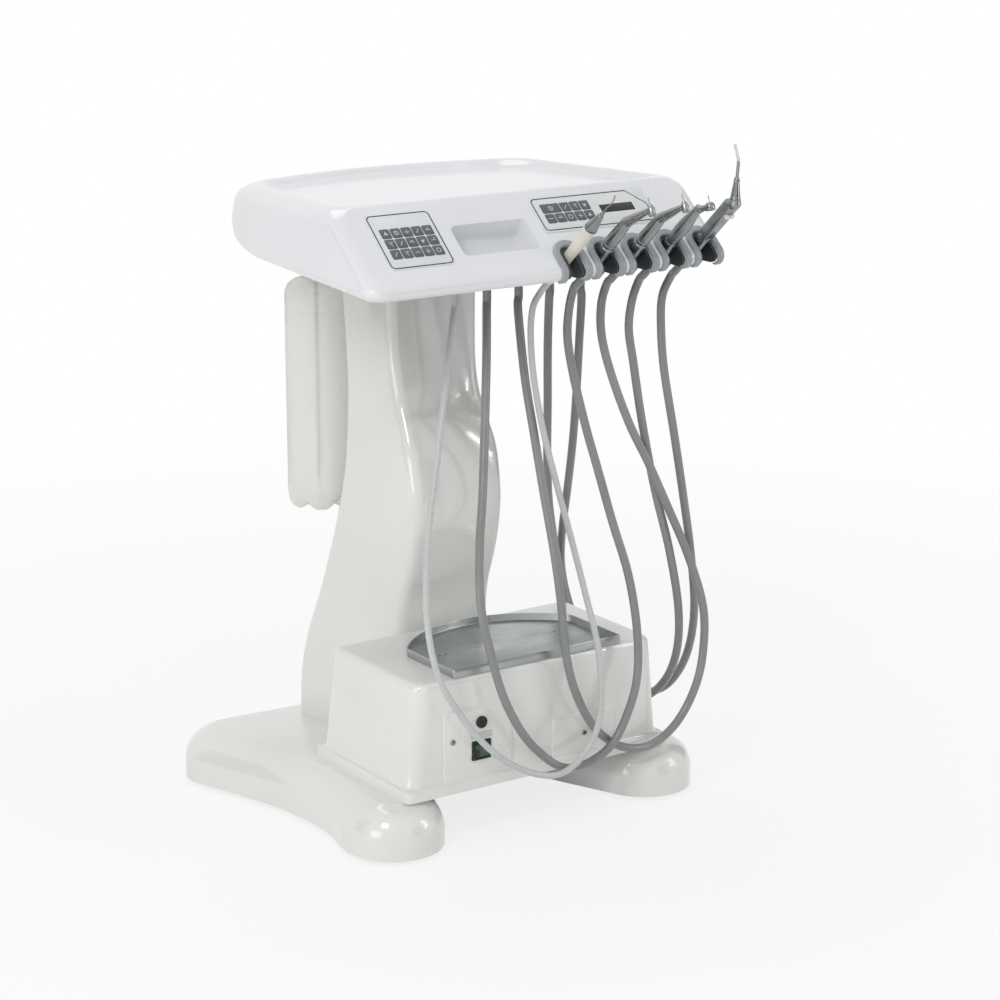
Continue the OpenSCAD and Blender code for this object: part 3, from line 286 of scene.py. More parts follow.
def completed(piece, finish, body=None, replaces=(), sharp=38):
    """Gives a piece its finish, smooth shading with the edges past an angle
    kept sharp and its body, and hides the CAD nodes that it stands for."""
    mesh = piece.data
    mesh.materials.clear()
    mesh.materials.append(finish)
    mesh.polygons.foreach_set("use_smooth", [True] * len(mesh.polygons))
    mesh.set_sharp_from_angle(angle=math.radians(sharp))
    if body:
        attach(piece, body)
        if replaces is not None:
            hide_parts(*replaces)
    return piece


def finish_piece(name, bm, finish, body=None, replaces=(), sharp=38):
    return completed(loose(name, bm), finish, body, replaces, sharp)


def dress(finish, *cad_nodes):
    """Gives CAD nodes whose shape is right a better material."""
    for name in cad_nodes:
        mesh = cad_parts[name].data
        mesh.materials.clear()
        mesh.materials.append(finish)


def bake(piece):
    """Applies the piece's modifiers to its mesh."""
    graph = bpy.context.evaluated_depsgraph_get()
    mesh = bpy.data.meshes.new_from_object(piece.evaluated_get(graph), depsgraph=graph)
    piece.modifiers.clear()
    piece.data = mesh


def carve(piece, solids, operation="DIFFERENCE"):
    """Boolean with the solids of other bmeshes, which are used up."""
    cutters = [loose("cutter", solid) for solid in solids]
    for cutter in cutters:
        modifier = piece.modifiers.new("carve", "BOOLEAN")
        modifier.operation = operation
        modifier.solver = "EXACT"
        modifier.object = cutter
    bpy.context.view_layer.update()
    bake(piece)
    for cutter in cutters:
        bpy.data.objects.remove(cutter)


def chamfered(piece, width_mm, segments, angle):
    """Rounds the piece's hard edges and keeps its flat faces flat."""
    bevel = piece.modifiers.new("rounding", "BEVEL")
    bevel.width = width_mm * MM
    bevel.segments = segments
    bevel.limit_method = "ANGLE"
    bevel.angle_limit = math.radians(angle)
    bevel.use_clamp_overlap = True
    bevel.harden_normals = False
    bpy.context.view_layer.update()
    bake(piece)


def merged_copy(cad_node):
    """A bmesh of a CAD node, with its doubles and flat faces merged."""
    bm = bmesh.new()
    bm.from_mesh(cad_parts[cad_node].data)
    bmesh.ops.remove_doubles(bm, verts=bm.verts, dist=2e-6)
    bmesh.ops.dissolve_limit(bm, angle_limit=math.radians(1.5), verts=bm.verts, edges=bm.edges)
    return bm


def round_where(bm, test, width_mm, segments):
    """Rounds the edges past 40 degrees whose both ends pass a test."""
    rim = [
        edge for edge in bm.edges
        if len(edge.link_faces) == 2 and edge.calc_face_angle() > math.radians(40)
        and all(test(vert.co) for vert in edge.verts)
    ]
    bmesh.ops.bevel(
        bm, geom=rim, offset=width_mm * MM, offset_type="OFFSET", segments=segments, profile=0.5,
        affect="EDGES", clamp_overlap=True, material=-1,
    )


# ---------------- skins
def ring_edges(bm, ring):
    return [bm.edges.get((ring[i - 1], ring[i])) for i in range(len(ring))]


def joined(bm, part):
    """Turns a part's faces outwards and adds it to a bmesh, if there is one."""
    bmesh.ops.recalc_face_normals(part, faces=part.faces)
    if bm is None:
        return part
    carrier = bpy.data.meshes.new("carrier")
    part.to_mesh(carrier)
    part.free()
    bm.from_mesh(carrier)
    bpy.data.meshes.remove(carrier)
    return bm


def loft(rings, capped=True, into=None):
    """A skin through rings of points in metres, extruded ring by ring."""
    bm = bmesh.new()
    ring = bmesh.ops.create_circle(bm, segments=len(rings[0]), radius=1)["verts"]
    for vert, point in zip(ring, rings[0]):
        vert.co = point
    first = ring
    for points in rings[1:]:
        made = bmesh.ops.extrude_edge_only(bm, edges=ring_edges(bm, ring))["geom"]
        new = {v for v in made if isinstance(v, bmesh.types.BMVert)}
        ring = [next(e.other_vert(v) for e in v.link_edges if e.other_vert(v) in new) for v in ring]
        for vert, point in zip(ring, points):
            vert.co = point
    if capped:
        bmesh.ops.contextual_create(bm, geom=ring_edges(bm, first))
        bmesh.ops.contextual_create(bm, geom=ring_edges(bm, ring))
    return joined(into, bm)


def spun(profile, matrix, steps=48, into=None):
    """A turned solid: pairs of radius and height, about the matrix's Z."""
    bm = bmesh.new()
    verts = [bm.verts.new((radius * MM, 0, height * MM)) for radius, height in profile]
    edges = [bm.edges.new(pair) for pair in zip(verts, verts[1:])]
    bmesh.ops.spin(
        bm, geom=verts + edges, cent=(0, 0, 0), axis=(0, 0, 1), angle=math.tau, steps=steps, use_merge=True,
    )
    bmesh.ops.remove_doubles(bm, verts=bm.verts, dist=1e-7)
    bmesh.ops.transform(bm, matrix=matrix, verts=bm.verts)
    return joined(into, bm)


def solid_turn(profile):
    """Closes a profile onto the axis at both ends."""
    return [(0, profile[0][1]), *profile, (0, profile[-1][1])]


def softened(profile, radius=0.5):
    """Rounds the corners of a turned profile with two extra points each."""
    out = [profile[0]]
    for before, here, after in zip(profile, profile[1:], profile[2:]):
        corner = Vector(here)
        back, on = Vector(before) - corner, Vector(after) - corner
        if back.length < 1e-6 or on.length < 1e-6 or back.angle(on) > math.radians(165):
            out.append(here)
            continue
        cut = min(radius, back.length * 0.45, on.length * 0.45)
        start, end = corner + back.normalized() * cut, corner + on.normalized() * cut
        out += [tuple(start), tuple((start + end) / 4 + corner / 2), tuple(end)]
    out.append(profile[-1])
    return out


def turned_piece(name, profile, matrix, finish, body, replaces=(), steps=56, rounding=0.4):
    bm = spun(softened(profile, rounding), matrix, steps)
    return finish_piece(name, bm, finish, body, replaces, 30)


def plate(width, height, depth, corner, matrix, edge=0.5, into=None, steps=6):
    """A flat plate with round corners: 0..width, 0..height, 0..depth in mm,
    its front rim rounded by edge."""
    turns = (
        (width - corner, corner, -90), (width - corner, height - corner, 0),
        (corner, height - corner, 90), (corner, corner, 180),
    )
    shares = [i / steps for i in range(steps + 1)]
    outline = [(x, y, math.radians(start + 90 * share)) for x, y, start in turns for share in shares]

    def level(inset, z):
        reach = corner - inset
        spots = [(x + reach * math.cos(a), y + reach * math.sin(a), z) for x, y, a in outline]
        return [matrix @ (Vector(spot) * MM) for spot in spots]

    edge = min(edge, depth * 0.9, corner * 0.9)
    rim = [math.pi / 2, math.pi / 4, 0]
    rims = [level(edge * (1 - math.sin(a)), depth - edge * (1 - math.cos(a))) for a in rim]
    return loft([level(0, 0), *rims], into=into)


def tube(path, radius, sides=20, into=None):
    """A round tube of points in metres, swept ring by ring."""
    last = len(path) - 1
    tangents = [(path[min(i + 1, last)] - path[max(i - 1, 0)]).normalized() for i in range(len(path))]
    across = Vector((0, 1, 0)) if abs(tangents[0].x) > 0.8 else Vector((1, 0, 0))
    turns = [math.tau * k / sides for k in range(sides)]
    rings = []
    for point, tangent in zip(path, tangents):
        across = (across - across.dot(tangent) * tangent).normalized()
        other = tangent.cross(across)
        rings.append([point + radius * (math.cos(a) * across + math.sin(a) * other) for a in turns])
    return loft(rings, into=into)


# ---------------- curves
def catmull_rom(a, b, c, d, t):
    """The point at t from b to c on the curve through all four."""
    return 0.5 * (2 * b + (c - a) * t + (2 * a - 5 * b + 4 * c - d) * t * t + (3 * b - a - 3 * c + d) * t**3)


def spline(points, steps, closed=False):
    """A smooth curve through points, with steps for each stretch."""
    size = len(points)
    out = []
    for i in range(size if closed else size - 1):
        near = [(i + j) % size if closed else min(max(i + j, 0), size - 1) for j in (-1, 0, 1, 2)]
        out += [catmull_rom(*(points[k] for k in near), j / steps) for j in range(steps)]
    return out if closed else [*out, points[-1]]


def interpolated(table, value):
    """Straight-line lookup in a table of (key, number) rows."""
    if value <= table[0][0]:
        return table[0][1]
    for (a, low), (b, high) in zip(table, table[1:]):
        if value <= b:
            return low + (high - low) * ((value - a) / (b - a))
    return table[-1][1]


def arc_points(centre, radius, start, end, steps):
    return [
        centre + radius * Vector((math.cos(a), math.sin(a)))
        for a in (math.radians(start + (end - start) * i / steps) for i in range(steps + 1))
    ]


def drawn_in(points, distance):
    """An anticlockwise outline moved inwards."""
    out = []
    for i, here in enumerate(points):
        along = (points[(i + 1) % len(points)] - points[i - 1]).normalized()
        out.append(here + distance * Vector((-along.y, along.x)))
    return out


def quad_ring(front_half, front_y, back_half, back_y, front_r, back_r, z, slope=0.0, bow=0.0, steps=9):
    """Four round corners and a bowed back, anticlockwise from front left."""
    front_x, back_x = front_half - front_r, back_half - back_r
    front, back = front_y + front_r, back_y - bow - back_r
    out = arc_points(Vector((-front_x, front)), front_r, 180, 270, steps)
    out += arc_points(Vector((front_x, front)), front_r, 270, 360, steps)
    out += arc_points(Vector((back_x, back)), back_r, 0, 90, steps)
    for share in (k / 6 for k in range(5, -6, -1)):
        out.append(Vector((share * back_x, back_y - bow * share * share)))
    out += arc_points(Vector((-back_x, back)), back_r, 90, 180, steps)
    return [place(p.x, p.y, z + slope * (p.y - front_y)) for p in out]


# ---------------- places
BASE_TOP = 76.0
CONSOLE_Z, CONSOLE_TOP = 771.0, 880.0
# The console's section: a round lip, a sloping panel and a round brow.
LIP, LIP_R, BROW_R = Vector((-199.0, 782.0)), 11.0, 10.0
PANEL = math.radians(41.7)
UP_PANEL = Vector((math.cos(PANEL), math.sin(PANEL)))
OFF_PANEL = Vector((-math.sin(PANEL), math.cos(PANEL)))
PANEL_START = LIP + LIP_R * OFF_PANEL
BROW_Z = CONSOLE_TOP - BROW_R
BROW = Vector((PANEL_START.x + (BROW_Z - PANEL_START.y) / math.tan(PANEL) + BROW_R / math.sin(PANEL), BROW_Z))
# Five holders in a row, their instruments leaning towards the operator.
HOLDER = PANEL_START + 19.3 * UP_PANEL
HOLDER_X = [34 + 55.8 * k for k in range(5)]
LEAN = math.radians(48)
UP_LEAN = Vector((-math.sin(LEAN), math.cos(LEAN)))
OFF_LEAN = Vector((math.cos(LEAN), math.sin(LEAN)))
QUARTER = math.radians(90)
FACING = Matrix.Rotation(QUARTER, 4, "X")


def turned_to(x, y, z, angle=0.0):
    """A frame at a point, turned about X."""
    return Matrix.Translation(place(x, y, z)) @ Matrix.Rotation(angle, 4, "X")


def facing(x, y, z):
    """A frame on a front face: its Z points towards the operator."""
    return turned_to(x, y, z, QUARTER)


def rearward(x, y, z):
    """A frame on a back face: its Z points away from the operator."""
    return turned_to(x, y, z, -QUARTER)


def moved(matrix, x, y, z):
    return matrix @ Matrix.Translation(Vector((x, y, z)) * MM)


def spokes(matrix, count):
    """The frame turned about its own Z to each of count places."""
    return [matrix @ Matrix.Rotation(math.tau * i / count, 4, "Z") for i in range(count)]


HOLDERS = [turned_to(x, HOLDER.x, HOLDER.y, LEAN) for x in HOLDER_X]
ON_PANEL = turned_to(0, PANEL_START.x, PANEL_START.y, PANEL)


# ---------------- hoses
# Hanging routes, as in the part source, from tail to gland.
ROUTES = [
    [
        (25, -120, 722), (23, -118, 682), (24, -125, 623), (32, -137, 550), (46, -150, 475),
        (60, -165, 400), (69, -186, 326), (75, -207, 257), (72, -221, 194), (61, -227, 145),
        (35, -228, 109), (-1, -228, 91), (-43, -228, 99), (-91, -228, 126), (-132, -226, 164),
        (-162, -219, 206), (-186, -210, 252), (-194, -196, 306), (-188, -178, 370), (-168, -155, 450),
        (-142, -134, 525), (-112, -108, 610), (-86, -84, 685), (-72, -73, 722),
    ],
    [
        (85, -121, 715), (84, -119, 675), (90, -124, 625), (102, -136, 555), (116, -148, 490),
        (132, -162, 415), (146, -182, 340), (150, -198, 265), (144, -208, 200), (126, -211, 150),
        (96, -213, 108), (54, -213, 90), (14, -213, 92), (-20, -212, 116), (-54, -212, 154),
        (-82, -208, 208), (-98, -200, 270), (-105, -185, 340), (-94, -166, 412), (-76, -147, 480),
        (-54, -120, 565), (-34, -95, 655), (-20, -75, 718),
    ],
    [
        (139, -122, 715), (142, -119, 672), (154, -125, 618), (175, -141, 546), (199, -154, 490),
        (225, -167, 424), (255, -178, 350), (273, -192, 274), (270, -197, 207), (255, -198, 156),
        (224, -198, 112), (182, -199, 89), (142, -199, 90), (106, -198, 107), (71, -198, 142),
        (43, -198, 195), (28, -196, 254), (25, -190, 319), (24, -174, 390), (23, -150, 470),
        (23, -126, 550), (23, -104, 625), (30, -78, 710),
    ],
    [
        (192, -122, 715), (190, -118, 675), (194, -124, 628), (203, -134, 544), (217, -147, 448),
        (233, -162, 360), (248, -166, 275), (264, -146, 205), (268, -118, 150), (262, -80, 112),
        (252, -36, 100), (244, 10, 112), (238, 48, 146), (232, 72, 190), (222, 77, 240), (203, 66, 292),
        (178, 44, 346), (153, 20, 406), (133, -4, 477), (114, -31, 562), (98, -53, 645), (89, -68, 714),
    ],
    [
        (245, -122, 715), (246, -119, 672), (247, -126, 612), (256, -140, 520), (268, -148, 430),
        (284, -148, 340), (300, -138, 250), (308, -112, 175), (304, -76, 122), (294, -34, 98),
        (284, 14, 96), (276, 58, 118), (266, 90, 160), (252, 104, 210), (234, 96, 258), (216, 76, 300),
        (203, 54, 350), (190, 25, 413), (177, -5, 490), (164, -31, 567), (152, -53, 645), (144, -69, 713),
    ],
]
TAIL = 62.0
TAIL_AT = HOLDER - TAIL * UP_LEAN
GLAND_X = [-70 + 52.5 * k for k in range(5)]
GLAND_Y, GLAND_H = -72.0, 20.0
HOSE_R = [4.5, 6, 6, 6, 6]


def hose_path(k):
    """Straight out of the tail, along the route and straight into the gland."""
    tails = [place(HOLDER_X[k], *(TAIL_AT - out * UP_LEAN)) for out in (0.2, 14, 28)]
    route = [place(*point) for point in ROUTES[k]]
    glands = [place(GLAND_X[k], GLAND_Y, CONSOLE_Z - GLAND_H - low) for low in (22, 10, 0)]
    return spline(tails + route + glands, 6)


def hose(k):
    """One hose, or the scaler's cable: it hangs between body and instrument."""
    path = hose_path(k)
    finish, slot = (CABLE_LIGHT, "cable_light") if k == 0 else (HOSE_GREY, "hose_grey")
    piece = finish_piece("hose_%d_tube" % (k + 1), tube(path, HOSE_R[k] * MM), finish)
    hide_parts("hose_%d" % (k + 1))
    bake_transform(piece)


for k in range(5):
    hose(k)

# ---------------- base
BASE_FRONT, RIM_H, BASE_WALL = -202.0, 6.0, 4.0
FRONT_FOOT, FRONT_R = Vector((214, -132)), 70.0
REAR_FOOT, REAR_R = Vector((252, 237)), 75.0
# The notch between the front feet: share of its half width, and how far its
# edge has come forward of its deepest point.
NOTCH = [(0, 0), (0.48, 8), (0.75, 28), (0.9, 56), (1, 84), (1.19, 132), (1.36, 172), (1.5, 206)]
NOTCH_HALF, NOTCH_DEEP = 98.0, 254.0
SIDE = [(281, -103), (270, -52), (270, 13), (282, 88), (309, 177)]
BACK, BACK_MIDDLE = (151.2, 305), (0, 302)
# The shoulder: distance below the top, and inset from the outline.
SHOULDER = [
    (42, 0), (36, 1.2), (30, 3), (24, 5.6), (19, 9), (14.5, 12.8), (11, 17), (7.6, 21.8), (5, 27),
    (2.2, 33), (0.6, 37), (0, 40),
]


def base_outline():
    """The right half, its mirror image, and the middle of the back."""
    half = [Vector((share * NOTCH_HALF, BASE_FRONT + NOTCH_DEEP - forward)) for share, forward in NOTCH]
    half += arc_points(FRONT_FOOT, FRONT_R, 218, 360, 5)
    half += [Vector(point) for point in SIDE]
    half += arc_points(REAR_FOOT, REAR_R, 0, 90, 3)
    half.append(Vector(BACK))
    other = [Vector((-p.x, p.y)) for p in half[1:]]
    return spline([*half, Vector(BACK_MIDDLE), *other[::-1]], 6, closed=True)


def base_skin(wall, bottom):
    """Rings from a bottom up over the shoulder, a wall inside the outside."""
    outline = base_outline()
    rings = [[place(p.x, p.y, bottom) for p in drawn_in(outline, wall)]]
    for deep, inset in SHOULDER:
        rings.append([place(p.x, p.y, BASE_TOP - wall - deep) for p in drawn_in(outline, inset + wall)])
    return rings


def base_moulding():
    """One skin: down the inside, round the rim and up over the outside."""
    rings = base_skin(BASE_WALL, RIM_H + 1)[::-1] + base_skin(0, RIM_H)
    finish_piece("base_moulding", loft(rings), BASE_ABS, "unit", ["base_shell"], 30)


base_moulding()

# ---------------- box
BOX_W, BOX_FRONT, BOX_BACK, BOX_H = 440.0, -178.0, 62.0, 163.0
SKIRT_H, SKIRT_IN, DRAFT, CROWN_R = 16.0, 6.5, 13.0, 10.0
# The front takes this share of an inset, and the back this share of the draft.
FRONT_SHARE, BACK_SHARE = 0.8, 0.7
# Height, inset and corner radius, from the floor to below the crown.
SKIRT = [
    (0, 0, 10), (SKIRT_H - 3, 0, 10), (SKIRT_H - 1, 0.3, 10), (SKIRT_H - 0.2, 1, 11), (SKIRT_H, 2, 12),
    (SKIRT_H + 0.2, 3.6, 18), (SKIRT_H + 0.8, 5, 21), (SKIRT_H + 2.2, 6, 22), (SKIRT_H + 5, SKIRT_IN, 22.5),
    (BOX_H - 60, SKIRT_IN, 23.5),
]
# The two flat pads on the front: left edge, width and height.
PAD_SIZES = [(-159, 112, 104), (22, 108, 60)]
PAD_Y = BOX_FRONT + FRONT_SHARE * SKIRT_IN
FACE_Y = PAD_Y - 3.8
SWITCH_X, SWITCH_Z, PORT_Z = -99.0, 131.0, 171.0
INLET_X, FITTING_X, BACK_Z = 165.0, -165.0, 120.0


def leant_in(z):
    """How far the box's side has leant in at a height above its floor."""
    return DRAFT * max(0, z - SKIRT_H) / (BOX_H - SKIRT_H)


INLET_BACK = BOX_BACK - SKIRT_IN - BACK_SHARE * leant_in(BACK_Z - BASE_TOP)


def box_ring(z, inset, r):
    half = BOX_W / 2 - inset - leant_in(z)
    front, back = BOX_FRONT + inset * FRONT_SHARE, BOX_BACK - inset - leant_in(z) * BACK_SHARE
    return quad_ring(half, front, half, back, r, r * 0.6, BASE_TOP + z)


def box_rings():
    """The skirt, the leaning sides and the crown's quarter round."""
    rings = [box_ring(*level) for level in SKIRT]
    for i in range(9):
        low, drawn = 1 - math.sin(QUARTER * i / 8), 1 - math.cos(QUARTER * i / 8)
        rings.append(box_ring(BOX_H - CROWN_R * low, SKIRT_IN + CROWN_R * drawn, 24 - 6 * drawn))
    return rings


def box_moulding():
    """The box with its pads and disc edge, open for switch and inlet."""
    box = loose("box_moulding", loft(box_rings()))
    pad_z = BASE_TOP + SKIRT_H - 2
    pads = [plate(width, height, 5, 8, facing(x, PAD_Y + 2, pad_z), 1.6) for x, width, height in PAD_SIZES]
    edge = softened([(35.5, 0), (35, 3.8), (34, 3.8)], 0.5)
    disc = spun(solid_turn(edge), facing(SWITCH_X + 4, PAD_Y, 151), 96)
    carve(box, [*pads, disc], "UNION")
    inlet = moved(rearward(144, BOX_BACK - 30, 109), 0, -22, 0)
    carve(box, [
        plate(28, 25, 24, 1, facing(SWITCH_X - 14, PAD_Y + 20, SWITCH_Z - 12.5), 0.1),
        plate(42, 22, 30, 2, inlet, 0.1),
    ])
    completed(box, BASE_ABS, "unit", ["box_shell"], 30)


def switch():
    """A black frame round a rocker in smoked green."""
    bezel = loose("switch_frame", plate(31, 28, 2, 2, facing(SWITCH_X - 15.5, FACE_Y, SWITCH_Z - 14), 0.8))
    carve(bezel, [plate(20.2, 22.2, 30, 1, facing(SWITCH_X - 10.1, FACE_Y + 15, SWITCH_Z - 11.1), 0.1)])
    completed(bezel, BLACK_PLASTIC, "unit", ["switch_bezel"], 30)
    rocker = loose("rocker_key", merged_copy("switch_rocker"))
    chamfered(rocker, 0.5, 3, 30)
    completed(rocker, ROCKER_PLASTIC, "rocker", ["switch_rocker"])


def fuse_cap():
    """The round fuse holder with its screwdriver bar, and a blank plate."""
    cap = [(0, 0), (8.5, 0), (8.5, 3), (7.6, 4), (5.4, 4), (5, 3.2), (0, 3.2)]
    port = spun(softened(cap, 0.3), facing(SWITCH_X, FACE_Y, PORT_Z), 64)
    plate(7, 1.1, 0.5, 0.4, facing(SWITCH_X - 3.5, FACE_Y - 3.2, PORT_Z - 0.55), 0.2, port)
    finish_piece("fuse_cap", port, BLACK_PLASTIC, "unit", ["fuse_holder"])
    strip = plate(36, 9, 0.6, 1, facing(SWITCH_X - 18, FACE_Y, SWITCH_Z + 17), 0.3)
    finish_piece("blank_plate", strip, PLATE_BLANK, "unit", ["name_plate"])


def screw_head(number, x, z, replaces):
    """A domed cross-head screw on a pad."""
    dome = softened([(0, 0), (4, 0), (4, 1), (3, 2), (0, 2.2)], 0.3)
    head = loose("screw_head_%d" % number, spun(dome, facing(x, FACE_Y + 0.8, z), 40))
    carve(head, [
        plate(5, 0.9, 3, 0.2, facing(x - 2.5, FACE_Y - 0.6, z - 0.45), 0.05),
        plate(0.9, 5, 3, 0.2, facing(x - 0.45, FACE_Y - 0.6, z - 2.5), 0.05),
    ])
    completed(head, POLISHED, "unit", replaces)


def back_panel():
    """Three contacts in the inlet, and a hose barb on the air fitting."""
    pins = bmesh.new()
    for dx, dz in ((-6, -2), (6, -2), (0, 3)):
        plate(2, 5, 12, 0.4, rearward(INLET_X + dx - 1, INLET_BACK - 10, BACK_Z + dz + 2.5), 0.3, pins)
    finish_piece("inlet_contacts", pins, BRASS_NICKEL, "unit")
    at = rearward(FITTING_X, INLET_BACK + 0.6, BACK_Z)
    fitting = loose("hose_barb", spun(solid_turn(softened([(9, 0), (9, 6), (8, 7)], 0.4)), at, 6))
    barbs = [
        (0, -12), (6.4, -12), (6.4, 0), (4, 0), (4, 7.2), (3.3, 9), (3.3, 12), (4, 12.4), (3.3, 16),
        (3.3, 18), (4, 18.4), (3.3, 22), (3.3, 24), (4, 24.4), (3.1, 29.4), (2.4, 30), (2.0, 30),
        (2.0, 20), (0, 20),
    ]
    carve(fitting, [spun(softened(barbs, 0.2), at, 48)], "UNION")
    completed(fitting, BRASS_NICKEL, "unit", ["air_fitting"])


box_moulding()
switch()
fuse_cap()
screw_head(1, SWITCH_X - 46, 150, ["box_screws"])
screw_head(2, 76, 120, None)
back_panel()
dress(BLACK_PLASTIC, "mains_inlet")

# ---------------- tray
TRAY_HALF, TRAY_SIDE, TRAY_RISE, TRAY_H, SHEET = 141.0, 118.0, 70.0, 12.0, 1.5
TRAY_FRONT, BOX_TOP = BOX_FRONT + 6, BASE_TOP + BOX_H
TRAY_R = (TRAY_HALF**2 + TRAY_RISE**2) / (2 * TRAY_RISE)
TRAY_CENTRE = TRAY_SIDE + TRAY_RISE - TRAY_R
# The sheet's edge: inset and height, up the outside and down the inside.
TRAY_EDGE = [
    (0.9, 0), (0.3, 0.3), (0, 1), (0, TRAY_H - 0.8), (0.25, TRAY_H - 0.2), (0.75, TRAY_H),
    (1.25, TRAY_H - 0.2), (SHEET, TRAY_H - 0.8), (SHEET, SHEET + 1.2), (1.9, SHEET + 0.35), (2.8, SHEET),
]
RIVET_X = [side * 98 + apart for side in (-1, 1) for apart in (-5, 5)]


def tray_outline(inset):
    """Straight front and sides and a round back, with small round corners."""
    half, radius = TRAY_HALF - inset, TRAY_R - inset
    top = TRAY_CENTRE + math.sqrt(max(radius**2 - half**2, 0))
    start = math.degrees(math.atan2(top - TRAY_CENTRE, half))
    corner = max(3 - inset * 0.3, 1)
    out = arc_points(Vector((-half + corner, inset + corner)), corner, 180, 270, 5)
    out += arc_points(Vector((half - corner, inset + corner)), corner, 270, 360, 5)
    back = arc_points(Vector((0, TRAY_CENTRE)), radius, start + 1.2, 178.8 - start, 44)
    return [*out, Vector((half, top - 5)), *back, Vector((-half, top - 5))]


def steel_tray():
    """The pressed tray and the domed heads of its four rivets."""
    rings = []
    for inset, z in TRAY_EDGE:
        rings.append([place(p.x, TRAY_FRONT + p.y, BOX_TOP + z) for p in tray_outline(inset)])
    finish_piece("steel_tray", loft(rings), TRAY_STEEL, "tray", ["tray"], 32)
    dome = softened([(2.2, 0), (2.2, 0.5), (1.2, 1.3), (0, 1.45)], 0.4)
    heads = bmesh.new()
    for x in RIVET_X:
        spun(dome, turned_to(x, TRAY_FRONT + 93, BOX_TOP + SHEET), 24, heads)
    finish_piece("tray_rivet_heads", heads, POLISHED, "tray", ["tray_rivets"])


steel_tray()

# ---------------- column
COLUMN_H = CONSOLE_Z - BASE_TOP
COLUMN_FRONT_HALF, COLUMN_BACK_HALF, COLUMN_BACK = 78.0, 106.0, 172.0
FOOT_SIDE, FOOT_BACK = 40.0, 68.0
# Share of the height, how far the front is drawn back, how much wider the
# front is, and the shares of the foot's flare to the sides and to the back.
COLUMN_LEVELS = [
    (0.00, 0, 6, 1.00, 1.00), (0.05, 0, 6, 0.99, 0.99), (0.10, 0, 5, 0.96, 0.96), (0.15, 0, 4, 0.87, 0.90),
    (0.20, 0, 3, 0.72, 0.81), (0.25, -2, 2, 0.54, 0.69), (0.30, -9, 1, 0.38, 0.57),
    (0.35, -22, 0, 0.25, 0.46), (0.40, -33, 0, 0.10, 0.37), (0.45, -40, 0, -0.02, 0.29),
    (0.50, -43, 0, -0.12, 0.21), (0.555, -39, 0, -0.18, 0.13), (0.605, -30, 0, -0.21, 0.08),
    (0.655, -15, -3, -0.21, 0.04), (0.705, 3, -5, -0.21, 0.01), (0.76, 14, -4, -0.19, 0),
    (0.82, 19, -2, -0.14, 0), (0.90, 20, -1, -0.07, 0), (1.00, 20, 0, 0, 0),
]


def column_moulding():
    """The waisted column: its belly hangs over the tray."""
    rings = []
    for share, front, wider, side, back in spline([Vector(level) for level in COLUMN_LEVELS], 4):
        rings.append(quad_ring(
            COLUMN_FRONT_HALF + wider, BOX_BACK + 2 + front, COLUMN_BACK_HALF + side * FOOT_SIDE,
            COLUMN_BACK + back * FOOT_BACK, 18, 13, BASE_TOP + share * COLUMN_H, steps=8,
        ))
    finish_piece("column_moulding", loft(rings), COLUMN_ABS, "unit", ["column_shell"], 50)


column_moulding()

# ---------------- console
CONSOLE_FRONT_HALF, CONSOLE_BACK_HALF, CONSOLE_BACK, CONSOLE_BOW = 289.5, 260.0, 268.0, 30.0
# How far each side is drawn in, by height above the console's underside.
FRONT_INSET = [(0, 18), (1, 12), (3, 8), (9, 3), (16, 0), (95, 0), (102, 5), (107, 14), (109, 24)]
REAR_INSET = [
    (0, 38), (1, 28), (3, 19), (9, 9), (18, 3), (32, 0), (60, 0), (88, 3), (98, 7), (104, 13), (107, 18),
    (109, 25),
]
BACK_INSET = [
    (0, 92), (1, 82), (3, 68), (6, 55), (10, 42), (16, 28), (24, 15), (34, 5), (50, 0), (60, 0), (90, 3),
    (100, 8), (105, 14), (109, 24),
]
# The recessed top: distance in from the rim, and depth.
RECESS = [
    (2, 0.02), (4, 0.2), (6.5, 0.9), (9, 2.3), (11.5, 4.6), (14, 7.0), (16.5, 8.6), (19.5, 9.6), (23, 10),
    (30, 10),
]
POCKET_X, POCKET_UP, POCKET_W, POCKET_H, POCKET_D = -124.0, 36.5, 122.0, 52.0, 34.0
SLOT_R = 14.5


def console_ring(y, z, drawn=0.0, drop=0.0):
    """A level ring that starts at a point of the section's front."""
    h = z - CONSOLE_Z
    slope = -0.013 * min(1, (h - 40) / 40) if h > 40 else 0.0
    ring = quad_ring(
        CONSOLE_FRONT_HALF - interpolated(FRONT_INSET, h) - drawn, y,
        CONSOLE_BACK_HALF - interpolated(REAR_INSET, h) - drawn,
        CONSOLE_BACK - interpolated(BACK_INSET, h) - drawn, 22, 55, z, slope, CONSOLE_BOW, 14,
    )
    return [p - Vector((0, 0, drop * MM)) for p in ring]


def console_section():
    """The front from below: round the lip, up the panel, over the brow."""
    end = 90 + math.degrees(PANEL)
    lip = arc_points(LIP, LIP_R, 270, end, 16)
    brow = arc_points(BROW, BROW_R, end, 90, 10)
    panel = [lip[-1] + (brow[0] - lip[-1]) * i / 12 for i in range(1, 12)]
    return lip + panel + brow


def pocket_rim(console, depth, width_mm):
    """Rounds the pocket's edges that lie this deep below the panel."""
    bm = bmesh.new()
    bm.from_mesh(console.data)
    bmesh.ops.remove_doubles(bm, verts=bm.verts, dist=1e-6)
    onto_panel = ON_PANEL.inverted()

    def at_rim(point):
        p = onto_panel @ point / MM
        inside = -1 < p.x - POCKET_X < POCKET_W + 1 and -1 < p.y - POCKET_UP < POCKET_H + 1
        return inside and abs(p.z + depth) < 0.3

    round_where(bm, at_rim, width_mm, 5)
    bm.to_mesh(console.data)
    bm.free()


